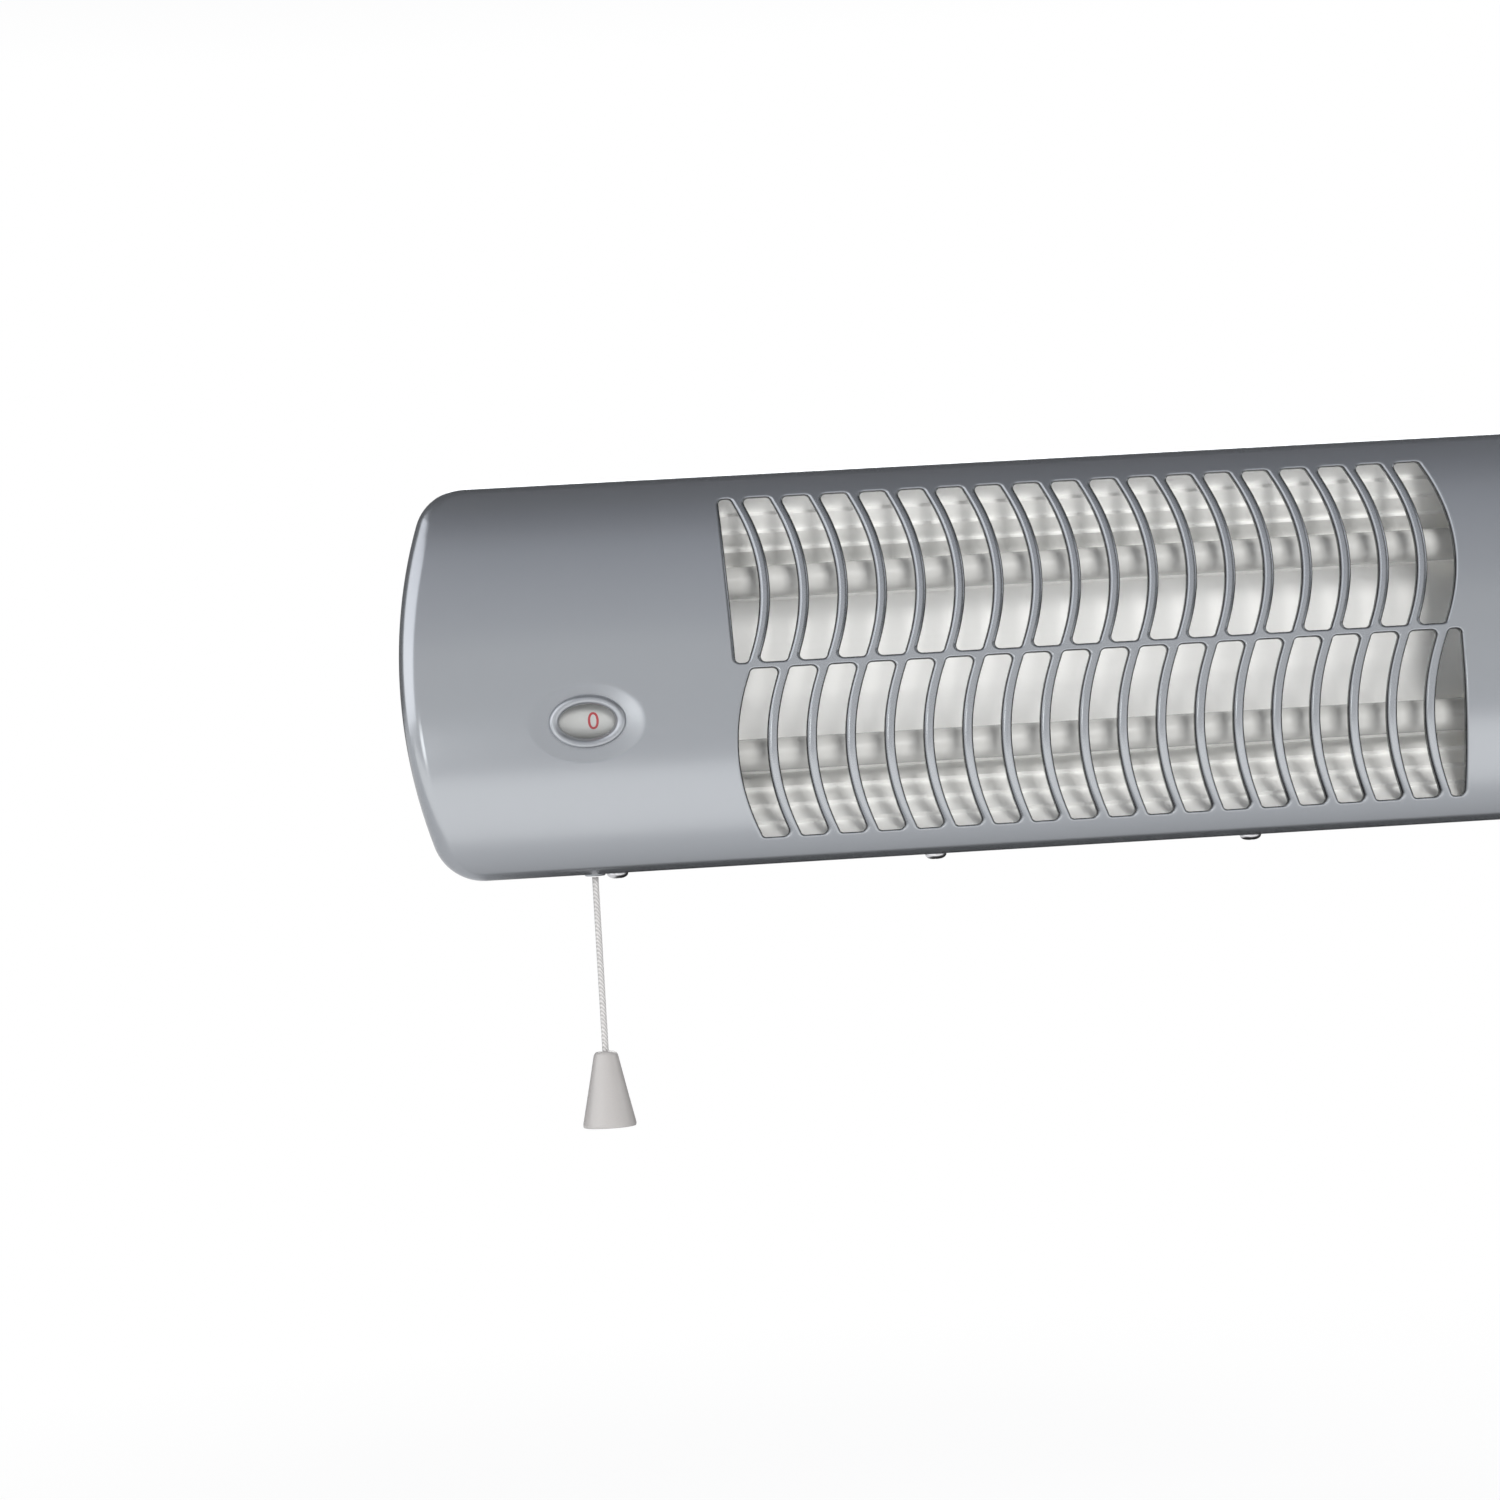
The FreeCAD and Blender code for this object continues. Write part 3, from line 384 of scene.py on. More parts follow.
def makeCordBraid():
    # twisted strands, as slanting bands on object coordinates
    finish, tree, skin = newFinish("cordFibre")
    place = addNode(tree, "TexCoord").outputs["Object"]
    wave = addNode(tree, "TexWave", {"Vector": place, "Scale": 420.0, "Distortion": 1.2},
                   wave_type="BANDS", bands_direction="DIAGONAL").outputs["Fac"]
    coatSkin(tree, skin, mixed(tree, wave, (0.33, 0.323, 0.321, 1), (0.52, 0.511, 0.511, 1)),
             ranged(tree, wave, 0.9, 0.7), wave, 0.5, 0.2 * mm)
    skin["Sheen Weight"].default_value = 0.3
    return finish


finishes = {
    "casing_paint": makeCasingPaint(),
    "galvanised_steel": makeSpangle(),
    "bright_aluminium": makeReflectorFinish(),
    "milky_quartz": makeQuartz(),
    "coil_wire": cloudyFinish("oxidisedWire", (0.16, 0.14, 0.12), (0.30, 0.26, 0.22), (0.45, 0.6),
                              metallic=0.8, patchScale=300.0),
    "ceramic": cloudyFinish("steatite", (0.74, 0.71, 0.64), (0.84, 0.82, 0.76), (0.6, 0.75),
                            speckScale=1500.0, bump=0.25),
    "switch_plastic": cloudyFinish("switchMoulding", (0.70, 0.69, 0.66), (0.78, 0.77, 0.74), (0.5, 0.62),
                                   speckScale=1800.0, bump=0.2),
    "drum_plastic": cloudyFinish("drumMoulding", (0.34, 0.346, 0.342), (0.385, 0.391, 0.387), (0.42, 0.52),
                                 speckScale=1600.0, bump=0.08),
    "bezel_plastic": cloudyFinish("bezelSilver", (0.29, 0.305, 0.33), (0.35, 0.365, 0.39), (0.28, 0.36),
                                  metallic=0.75, speckScale=2200.0, bump=0.03),
    "bush_plastic": cloudyFinish("darkMoulding", (0.035, 0.035, 0.038), (0.07, 0.07, 0.075), (0.45, 0.6),
                                 speckScale=1500.0, bump=0.2),
    "cord_fibre": makeCordBraid(),
    "knob_plastic": cloudyFinish("knobMoulding", (0.32, 0.308, 0.305), (0.375, 0.362, 0.357), (0.34, 0.44),
                                 coat=0.15, speckScale=1500.0, bump=0.05),
    "zinc_steel": cloudyFinish("brightZinc", (0.52, 0.52, 0.54), (0.68, 0.68, 0.70), (0.22, 0.36),
                               metallic=1.0, patchScale=90.0, speckScale=1500.0, bump=0.06),
    "brass": cloudyFinish("turnedBrass", (0.50, 0.37, 0.14), (0.68, 0.53, 0.24), (0.25, 0.40), metallic=1.0,
                          patchScale=120.0, bump=0.05),
}
finishes["painted_steel"] = finishes["casing_paint"].copy()
finishes["painted_steel"].name = "bracketPaint"
finishes["painted_steel"].node_tree.nodes["Principled BSDF"].inputs["Metallic"].default_value = 0.55
print("finishes made:", len(finishes))


def dressNodes():
    slots = {row["node"]: row["material_slot"] for row in frame["record"]["subparts"]}
    for word, thing in nodes.items():
        thing.data.materials.clear()
        thing.data.materials.append(finishes[slots[word]])


dressNodes()


def finishPiece(thing, body, slot, *replaced):
    thing.data.materials.clear()
    thing.data.materials.append(finishes[slot])
    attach(thing, body)
    if replaced:
        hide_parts(*replaced)
    return thing


def selectOnly(thing):
    bpy.ops.object.select_all(action="DESELECT")
    thing.select_set(True)
    bpy.context.view_layer.objects.active = thing


def smoothByAngle(thing, degrees):
    selectOnly(thing)
    bpy.ops.object.shade_smooth_by_angle(angle=math.radians(degrees))


def applyModifiers(thing):
    selectOnly(thing)
    for modifier in list(thing.modifiers):
        bpy.ops.object.modifier_apply(modifier=modifier.name)


def faceOutward(thing):
    selectOnly(thing)
    bpy.ops.object.mode_set(mode="EDIT")
    bpy.ops.mesh.select_all(action="SELECT")
    bpy.ops.mesh.normals_make_consistent(inside=False)
    bpy.ops.object.mode_set(mode="OBJECT")


# pull cord, hung from the bush
pullCord = {
    "x": -0.18865, "y": -0.062003, "exit": -0.0735, "knobTop": -0.138, "radius": 0.0012,
    "stops": (0.0, 0.25, 0.5, 0.75, 1.0), "lineSteps": 12, "sideSteps": 4, "order": 3,
}


def hangCord(size):
    data = bpy.data.curves.new("pullCordLine", "CURVE")
    data.dimensions = "3D"
    data.bevel_depth = size["radius"]
    data.bevel_resolution = size["sideSteps"]
    data.resolution_u = size["lineSteps"]
    data.use_fill_caps = True
    line = data.splines.new("NURBS")
    drop = size["exit"] - size["knobTop"]
    line.points.add(len(size["stops"]) - 1)
    for point, share in zip(line.points, size["stops"]):
        point.co = (size["x"], size["y"], size["exit"] - drop * share, 1)
    line.order_u = size["order"]
    line.use_endpoint_u = True
    cord = bpy.data.objects.new("pullCordLine", data)
    scene.collection.objects.link(cord)
    finishPiece(cord, "cord", "cord_fibre", "pull_cord")
    return cord, drop


cordLine, cordDrop = hangCord(pullCord)
print("cord hung:", round(cordDrop, 4), "m")

# stamped cover: a flat blank with its openings, drawn to the arch and rolled at its rim
cover = {
    "halfLength": 255.74 * mm, "halfHeight": 72.5 * mm, "bow": 202 * mm, "corner": 19 * mm, "roll": 7 * mm,
    "arch": 120 * mm, "archAxis": 25 * mm, "back": -42 * mm, "sheet": 0.7 * mm, "stripe": 3 * mm,
    "rollSteps": 10, "endSteps": 26, "cornerSteps": 14, "edgeSteps": 40, "fitRounds": 8, "weld": 0.02 * mm,
    "smooth": 32, "archMiss": 0.00001, "archFacing": 0.93,
}
grille = {
    "bars": 19, "pitch": 14.3 * mm, "bar": 3.9 * mm, "bulge": 7 * mm, "lean": 2 * mm, "rail": 2.4 * mm,
    "shift": 1.35 * mm, "height": 61.3 * mm, "corner": 1.9 * mm, "endSlot": 4.4 * mm, "lipDepth": 3.2 * mm,
    "sideSteps": 22, "sideTrim": 1.4, "cornerSteps": 6, "lipTurns": (15, 30, 45, 60, 75, 90),
    # lipShades: painted shade for each ring of a lip, darkest where it has turned in
    "lipShades": (0.0, 0.1, 0.5, 0.95, 1.0, 1.0, 0.9, 0.8),
    "round": (1.75 * mm, 0.95 * mm, 1.3 * mm),  # how far the edge rounds over: sideways, up and down, and in
}
dish = {
    "x": -188.65 * mm, "z": -17 * mm, "halfWidth": 22 * mm, "depth": 1.8 * mm, "softRim": 0.25 * mm,
    "holeHalfWidth": 11.95 * mm, "holeHalfHeight": 8.05 * mm, "steps": 16, "points": 96, "hem": 0.9 * mm,
}
bowCentre = cover["halfLength"] - cover["bow"]
cornerZ = cover["halfHeight"] - cover["corner"]
cornerX = bowCentre + math.sqrt((cover["bow"] - cover["corner"]) ** 2 - cornerZ ** 2)
dish["ball"] = (dish["halfWidth"] ** 2 + dish["depth"] ** 2) / (2 * dish["depth"])
dish["lean"] = math.asin(-dish["z"] / cover["arch"])
inward = Vector((0, math.cos(dish["lean"]), math.sin(dish["lean"])))
upward = Vector((0, -math.sin(dish["lean"]), math.cos(dish["lean"])))
dishPoint = Vector((dish["x"], cover["archAxis"], 0)) - inward * cover["arch"]


def archFront(z):
    return cover["archAxis"] - math.sqrt(cover["arch"] ** 2 - z ** 2)


def rimNormal(x, z):
    # outward direction of the rim nearest a point, and how far inside the rim the point is
    ax, az = abs(x), abs(z)
    sx, sz = math.copysign(1, x), math.copysign(1, z)
    if ax <= cornerX:
        return Vector((0, sz)), cover["halfHeight"] - az
    away = Vector((ax - cornerX, az - cornerZ))
    if away.y > 0 and math.atan2(away.y, away.x) > math.atan2(cornerZ, cornerX - bowCentre):
        inside = cover["corner"] - away.length
    else:
        away = Vector((ax - bowCentre, az))
        inside = cover["bow"] - away.length
    away.normalize()
    return Vector((away.x * sx, away.y * sz)), inside


def rimPoints():
    # the cover's outline, anticlockwise from the right-hand end
    turn = math.atan2(cornerZ, cornerX - bowCentre)
    quarter = []
    for i in range(cover["endSteps"] // 2):
        a = turn * i / (cover["endSteps"] // 2)
        quarter.append((bowCentre + cover["bow"] * math.cos(a), cover["bow"] * math.sin(a)))
    for i in range(cover["cornerSteps"]):
        a = turn + (math.pi / 2 - turn) * i / cover["cornerSteps"]
        quarter.append((cornerX + cover["corner"] * math.cos(a), cornerZ + cover["corner"] * math.sin(a)))
    for i in range(cover["edgeSteps"] // 2):
        quarter.append((cornerX * (1 - 2 * i / cover["edgeSteps"]), cover["halfHeight"]))
    half = quarter + [(0, cover["halfHeight"])] + [(-x, z) for x, z in reversed(quarter)]
    return half + [(x, -z) for x, z in reversed(half[1:-1])]


def rollSlope(z, way):
    # how fast the arch falls away, going inwards from the rim
    return -way.y * z / math.sqrt(cover["arch"] ** 2 - z ** 2)


def blankRim():
    # where the arch ends and the rolled edge begins
    ring = []
    for x, z in rimPoints():
        way, _ = rimNormal(x, z)
        inside = cover["roll"]
        for _ in range(cover["fitRounds"]):
            slope = rollSlope(z - way.y * inside, way)
            inside = cover["roll"] * (1 + slope / math.sqrt(1 + slope ** 2))
        ring.append((x - way.x * inside, z - way.y * inside))
    return ring


def slotLoop(left, right, grow):
    # opening between two bars of the upper row, grown by its rounded edge
    # each side is (x at the rail, bulge)
    low, tall, lean = grille["rail"] / 2, grille["height"], grille["lean"]

    def side(edge, s):
        return Vector((edge[0] - lean * s + 4 * edge[1] * s * (1 - s), low + tall * s))

    def tangent(edge, s):
        return Vector((-lean + 4 * edge[1] * (1 - 2 * s), tall)).normalized()

    flat = Vector((1, 0))
    corners = [
        (side(right, 0), flat, tangent(right, 0)), (side(right, 1), tangent(right, 1), -flat),
        (side(left, 1), -flat, -tangent(left, 1)), (side(left, 0), -tangent(left, 0), flat),
    ]
    points = []
    for i, (spot, come, go) in enumerate(corners):
        turn = math.acos(max(-1, min(1, come.dot(go))))
        reach = grille["corner"] * math.tan(turn / 2)
        middle = spot - come * reach + Vector((-come.y, come.x)) * grille["corner"]
        first = math.atan2(-come.x, come.y)
        for step in range(grille["cornerSteps"] + 1):
            a = first + turn * step / grille["cornerSteps"]
            way = Vector((math.cos(a), math.sin(a)))
            points.append(middle + way * grille["corner"] + grow @ way)
        if i in (0, 2):  # up the right side, down the left
            edge = right if i == 0 else left
            trim = reach / tall * grille["sideTrim"]
            for step in range(grille["sideSteps"] + 1):
                s = trim + (1 - 2 * trim) * step / grille["sideSteps"]
                s = s if i == 0 else 1 - s
                along = tangent(edge, s)
                out = Vector((along.y, -along.x)) * (1 if i == 0 else -1)
                points.append(side(edge, s) + grow @ out)
    return points


def slotLoops():
    half = grille["bar"] / 2
    grow = Matrix(((grille["round"][0], 0), (0, grille["round"][1])))
    middle = (grille["bars"] - 1) / 2
    xs = [(i - middle) * grille["pitch"] + grille["shift"] for i in range(grille["bars"])]
    edges = [((xs[0] - half - grille["endSlot"], 0), (xs[0] - half, grille["bulge"]))]
    for here, there in zip(xs, xs[1:]):
        edges.append(((here + half, grille["bulge"]), (there - half, grille["bulge"])))
    upper = [slotLoop(left, right, grow) for left, right in edges]
    return upper + [[-point for point in loop] for loop in upper]  # the lower row is the upper turned round


def onArch(wide, high):
    # point of the arch beside the indicator, given along the tangent plane there
    z = (dishPoint + upward * high).z
    return Vector((dish["x"] + wide, archFront(z), z))


def dishLoop():
    # where the ball cap breaks through the arch
    loop = []
    for i in range(dish["points"]):
        a = 2 * math.pi * i / dish["points"]
        bend = 1 / (2 * dish["ball"]) + math.sin(a) ** 2 / (2 * cover["arch"])
        reach = math.sqrt(dish["depth"] / bend)
        spot = onArch(reach * math.cos(a), reach * math.sin(a))
        loop.append((spot.x, spot.z))
    return loop


def fillBlank():
    # all outlines as one flat drawing, filled and sliced into narrow stripes
    verts, edges = [], []
    for loop in [blankRim()] + slotLoops() + [dishLoop()]:
        base = len(verts)
        verts += [(x, 0, z) for x, z in loop]
        edges += [(base + i, base + (i + 1) % len(loop)) for i in range(len(loop))]
    data = bpy.data.meshes.new("stampedCover")
    data.from_pydata(verts, edges, [])
    blank = bpy.data.objects.new("stampedCover", data)
    scene.collection.objects.link(blank)
    selectOnly(blank)
    bpy.ops.object.mode_set(mode="EDIT")
    bpy.ops.mesh.select_all(action="SELECT")
    bpy.ops.mesh.fill(use_beauty=True)
    count = int(cover["halfHeight"] / cover["stripe"])
    for i in range(-count, count + 1):
        bpy.ops.mesh.select_all(action="SELECT")
        bpy.ops.mesh.bisect(plane_co=(0, 0, i * cover["stripe"]), plane_no=(0, 0, 1))
    bpy.ops.object.mode_set(mode="OBJECT")
    return blank


def openLoops(bm):
    # ordered rings of boundary vertices
    links = {}
    for edge in bm.edges:
        if len(edge.link_faces) == 1:
            a, b = edge.verts
            links.setdefault(a, []).append(b)
            links.setdefault(b, []).append(a)
    loops, seen = [], set()
    for start in links:
        if start in seen:
            continue
        loop, here, last = [], start, None
        while here not in seen:
            seen.add(here)
            loop.append(here)
            step = [v for v in links[here] if v is not last]
            last, here = here, step[0]
        loops.append(loop)
    return loops


def inwardNormals(loop):
    area = sum(a.co.x * b.co.z - b.co.x * a.co.z for a, b in zip(loop, loop[1:] + loop[:1]))
    side = 1 if area > 0 else -1
    normals = []
    for last, ahead in zip(loop[-1:] + loop[:-1], loop[1:] + loop[:1]):
        run = Vector((ahead.co.x - last.co.x, ahead.co.z - last.co.z)).normalized()
        normals.append(Vector((-run.y, run.x)) * side)
    return normals


def addRings(bm, loop, rings, shades):
    # skins a strip from a loop through each further ring of points; a shade of 1 is full painted shade,
    # near-black paint
    layer = bm.verts.layers.float["paintedLipShade"]
    last = loop
    for ring, shade in zip(rings, shades):
        fresh = [bm.verts.new(point) for point in ring]
        for v in fresh:
            v[layer] = shade
        for i in range(len(loop)):
            j = (i + 1) % len(loop)
            bm.faces.new((last[i], last[j], fresh[j], fresh[i]))
        last = fresh


def lipRings(loop):
    across, along, inside = grille["round"]
    turns = [math.radians(d) for d in grille["lipTurns"]]
    steps = [(math.sin(a), inside * (1 - math.cos(a))) for a in turns]
    steps += [(1, (inside + grille["lipDepth"]) / 2), (1, grille["lipDepth"])]
    ways = [(way.x * across, way.y * along) for way in inwardNormals(loop)]
    flat = [(v.co.x, v.co.z) for v in loop]
    rings = []
    for share, down in steps:
        ring = []
        for (x, z), (wide, high) in zip(flat, ways):
            x2, z2 = x + wide * share, z + high * share
            ring.append((x2, archFront(z2) + down, z2))
        rings.append(ring)
    return rings


def rollRings(loop):
    r = cover["roll"]
    columns = []
    for v in loop:
        x, z = v.co.x, v.co.z
        way, inside = rimNormal(x, z)
        edge = Vector((x, z)) + way * inside
        slope = rollSlope(z, way)
        steep = math.sqrt(1 + slope ** 2)
        middle = (inside - slope * r / steep, archFront(z) + r / steep)
        first = math.atan2(archFront(z) - middle[1], inside - middle[0])
        last = -math.pi
        column = []
        for step in range(1, cover["rollSteps"] + 1):
            a = first + (last - first) * step / cover["rollSteps"]
            d, y = middle[0] + r * math.cos(a), middle[1] + r * math.sin(a)
            column.append((edge.x - way.x * d, y, edge.y - way.y * d))
        foot = column[-1]
        for share in (0.5, 1.0):
            column.append((foot[0], foot[1] + (cover["back"] - foot[1]) * share, foot[2]))
        columns.append(column)
    return [[column[k] for column in columns] for k in range(len(columns[0]))]


def dishRings(loop):
    rim = [(v.co.x - dish["x"], (v.co.z - dish["z"]) / math.cos(dish["lean"])) for v in loop]
    hole = []
    for wide, high in rim:
        a = math.atan2(high / dish["holeHalfHeight"], wide / dish["holeHalfWidth"])
        hole.append((dish["holeHalfWidth"] * math.cos(a), dish["holeHalfHeight"] * math.sin(a)))
    rings = []
    for step in range(1, dish["steps"] + 1):
        t = step / dish["steps"]
        ring = []
        for (w1, h1), (w2, h2) in zip(rim, hole):
            wide, high = w1 + (w2 - w1) * t, h1 + (h2 - h1) * t
            sag = dish["depth"] - (wide ** 2 + high ** 2) / (2 * dish["ball"])
            sag -= high ** 2 / (2 * cover["arch"])
            sag = math.sqrt(max(sag, 0) ** 2 + dish["softRim"] ** 2) - dish["softRim"]
            ring.append(onArch(wide, high) + inward * sag)
        rings.append(ring)
    rings.append([point + inward * dish["hem"] for point in rings[-1]])
    return rings


def setArchNormals(thing):
    # the arch is exact, so its shading follows the true curve and not the stripes
    data = thing.data
    normals = []
    for face in data.polygons:
        spots = [data.vertices[index].co for index in face.vertices]
        trues = [Vector((0, spot.y - cover["archAxis"], spot.z)) / cover["arch"] for spot in spots]
        close = [abs(true.length - 1) < cover["archMiss"] for true in trues]
        for true, near in zip(trues, close):
            follows = near and (all(close) or face.normal.dot(true) > cover["archFacing"])
            normals.append(true.normalized() if follows else Vector())
    data.normals_split_custom_set(normals)


def stampCover():
    blank = fillBlank()
    bm = bmesh.new()
    bm.from_mesh(blank.data)
    bmesh.ops.remove_doubles(bm, verts=bm.verts, dist=cover["weld"])
    bm.verts.layers.float.new("paintedLipShade")
    strips = []
    for loop in openLoops(bm):
        middleX = sum(v.co.x for v in loop) / len(loop)
        width = max(v.co.x for v in loop) - min(v.co.x for v in loop)
        if width > cover["halfLength"]:
            rings, shades = rollRings(loop), None
        elif abs(middleX - dish["x"]) < dish["halfWidth"]:
            rings, shades = dishRings(loop), None
        else:
            # the grille lips carry painted shade, dark where they turn in
            rings, shades = lipRings(loop), grille["lipShades"]
        strips.append((loop, rings, shades or [0.0] * len(rings)))
    for v in bm.verts:
        v.co.y = archFront(v.co.z)
    for loop, rings, shades in strips:
        addRings(bm, loop, rings, shades)
    bmesh.ops.recalc_face_normals(bm, faces=bm.faces)
    front = max(bm.faces, key=lambda face: face.calc_area())
    if front.normal.y > 0:
        bmesh.ops.reverse_faces(bm, faces=bm.faces)
    bm.to_mesh(blank.data)
    bm.free()
    wall = blank.modifiers.new("sheetThickness", "SOLIDIFY")
    wall.thickness = cover["sheet"]
    wall.offset = -1
    applyModifiers(blank)
    smoothByAngle(blank, cover["smooth"])
    setArchNormals(blank)
    return finishPiece(blank, "heater", "casing_paint", "front_cover")


coverPiece = stampCover()
print("cover stamped:", len(coverPiece.data.polygons), "faces")

# turned pieces: a ring is drawn out along Z and sized at each step


def turnPiece(name, sides, rings, ends="cap"):
    # a ring is (radius, height), or (half width, half depth, height), or that and a sideways shift
    rings = [(ring[0], *ring) if len(ring) == 2 else ring for ring in rings]
    rings = [[value * mm for value in (*ring, 0)[:4]] for ring in rings]
    wide, deep, high, shift = rings[0]
    bpy.ops.object.select_all(action="DESELECT")
    bpy.ops.mesh.primitive_circle_add(vertices=sides, radius=1, fill_type="NOTHING", location=(0, 0, 0))
    thing = bpy.context.object
    thing.name = name
    bpy.ops.object.mode_set(mode="EDIT")
    bpy.ops.mesh.select_all(action="SELECT")
    bpy.ops.transform.resize(value=(wide, deep, 1), center_override=(0, 0, 0))
    bpy.ops.transform.translate(value=(shift, 0, high))
    for wide2, deep2, high2, shift2 in rings[1:]:
        bpy.ops.mesh.extrude_region_move(TRANSFORM_OT_translate={"value": (shift2 - shift, 0, high2 - high)})
        bpy.ops.transform.resize(value=(wide2 / wide, deep2 / deep, 1), center_override=(shift2, 0, high2))
        wide, deep, high, shift = wide2, deep2, high2, shift2
    if ends == "cap":
        bpy.ops.mesh.edge_face_add()
    bpy.ops.mesh.select_all(action="DESELECT")
    bpy.ops.mesh.select_non_manifold()
    if ends == "cap":
        bpy.ops.mesh.edge_face_add()
    else:
        bpy.ops.mesh.bridge_edge_loops()
    bpy.ops.object.mode_set(mode="OBJECT")
    faceOutward(thing)
    return thing


def settle(thing, place, turn=(0, 0, 0)):
    # puts a piece in its place and keeps that place in the mesh
    selectOnly(thing)
    thing.rotation_euler = turn
    thing.location = place
    bpy.ops.object.transform_apply(location=True, rotation=True, scale=True)


def copyPiece(thing, name):
    twin = bpy.data.objects.new(name, thing.data.copy())
    scene.collection.objects.link(twin)
    return twin


def joinPieces(name, pieces):
    bpy.ops.object.select_all(action="DESELECT")
    for thing in pieces:
        thing.select_set(True)
    bpy.context.view_layer.objects.active = pieces[0]
    if len(pieces) > 1:
        bpy.ops.object.join()
    pieces[0].name = name
    return pieces[0]


# indicator: a rounded oval ring round the window, and the numbers on the drum
bezelRing = {
    "sides": 96, "smooth": 40,
    "rings": [(14.0, 9.65, -1.45), (14.0, 9.65, -0.35), (13.88, 9.54, 0.2), (13.6, 9.28, 0.62),
              (13.2, 8.92, 0.92), (12.7, 8.47, 1.08), (12.15, 8.0, 1.07), (11.6, 7.5, 0.92),
              (11.1, 7.06, 0.62), (10.72, 6.74, 0.2), (10.48, 6.53, -0.4), (10.32, 6.4, -1.3),
              (10.25, 6.35, -3.6), (11.5, 7.6, -3.6), (11.5, 7.6, -1.45)],
}


def makeBezel(size):
    ring = turnPiece("bezelRing", size["sides"], size["rings"], ends="bridge")
    settle(ring, dishPoint, (math.pi / 2 + dish["lean"], 0, 0))
    smoothByAngle(ring, size["smooth"])
    return finishPiece(ring, "heater", "bezel_plastic", "indicator_bezel")


makeBezel(bezelRing)

numbers = {
    "words": "012012", "radius": 12 * mm, "raise": 0.02 * mm, "film": 0.03 * mm, "size": 9.0 * mm,
    "right": 2.2 * mm, "low": 0.5 * mm, "stripe": 0.5 * mm, "stripes": 8, "setback": 16.2 * mm,
    "turn": math.radians(60),
}
numberInk = cloudyFinish("numberInk", (0.24, 0.030, 0.038), (0.33, 0.047, 0.055), (0.4, 0.5),
                         speckScale=2500.0, bump=0.03)


def printNumber(word, step, size):
    # drawn flat, sliced, then wrapped on the drum; each step is a sixth of a turn further down
    bpy.ops.object.select_all(action="DESELECT")
    bpy.ops.object.text_add(location=(0, 0, 0))
    thing = bpy.context.object
    thing.data.body = word
    thing.data.size = size["size"]
    thing.data.align_x = "CENTER"
    thing.data.align_y = "CENTER"
    thing.data.extrude = size["film"]
    bpy.ops.object.convert(target="MESH")
    thing = bpy.context.object
    thing.name = "drumNumber%d" % step
    bpy.ops.object.mode_set(mode="EDIT")
    for i in range(-size["stripes"], size["stripes"] + 1):
        bpy.ops.mesh.select_all(action="SELECT")
        bpy.ops.mesh.bisect(plane_co=(0, i * size["stripe"], 0), plane_no=(0, 1, 0))
    bpy.ops.mesh.select_all(action="SELECT")
    bpy.ops.mesh.remove_doubles(threshold=weld)
    bpy.ops.object.mode_set(mode="OBJECT")
    faceOutward(thing)
    axle = dishPoint + inward * size["setback"]
    for v in thing.data.vertices:
        a = (v.co.y - size["low"]) / size["radius"] - size["turn"] * step
        reach = size["radius"] + size["raise"] + v.co.z
        middle = axle + Vector((v.co.x + size["right"], 0, 0))
        v.co = middle - inward * reach * math.cos(a) + upward * reach * math.sin(a)
    finishPiece(thing, "dial", "drum_plastic")
    thing.data.materials.clear()
    thing.data.materials.append(numberInk)


for numberStep, numberWord in enumerate(numbers["words"]):
    printNumber(numberWord, numberStep, numbers)
print("indicator made, with", len(numbers["words"]), "numbers")


# cover screws: domed heads with a cross recess
coverScrew = {
    "count": 4, "spacing": 120 * mm, "y": -49 * mm, "seat": 72.5 * mm, "sides": 40, "smooth": 35,
    "cross": (1.0, 4.6, 2.4), "crossTop": 2.9, "crossFoot": (0.7, 0.45), "firstTurn": 0.4, "nextTurn": 0.7,
    "rings": [(1.6, -5.4), (1.6, -0.1), (3.75, -0.1), (3.95, 0.1), (4.0, 0.4), (3.86, 0.85), (3.5, 1.3),
              (2.95, 1.68), (2.2, 1.97), (1.3, 2.13), (0.5, 2.18)],
}


def makeScrew(size):
    screw = turnPiece("coverScrew", size["sides"], size["rings"])
    narrow, wide, deep = (value * mm for value in size["cross"])
    footX, footY = size["crossFoot"]
    blades = []
    for turn in (0, math.pi / 2):
        bpy.ops.object.select_all(action="DESELECT")
        bpy.ops.mesh.primitive_cube_add(size=1, location=(0, 0, 0))
        blade = bpy.context.object
        bpy.ops.object.mode_set(mode="EDIT")
        bpy.ops.mesh.select_all(action="SELECT")
        bpy.ops.transform.resize(value=(narrow, wide, deep), center_override=(0, 0, 0))
        bpy.ops.object.mode_set(mode="OBJECT")
        for v in blade.data.vertices:  # the recess narrows towards its foot
            if v.co.z < 0:
                v.co.x, v.co.y = v.co.x * footX, v.co.y * footY
        settle(blade, (0, 0, size["crossTop"] * mm - deep / 2), (0, 0, turn))
        blades.append(blade)
    for blade in blades:
        recess = screw.modifiers.new("recess", "BOOLEAN")
        recess.operation = "DIFFERENCE"
        recess.solver = "EXACT"
        recess.object = blade
    applyModifiers(screw)
    for blade in blades:
        bpy.data.objects.remove(blade)
    smoothByAngle(screw, size["smooth"])
    return screw


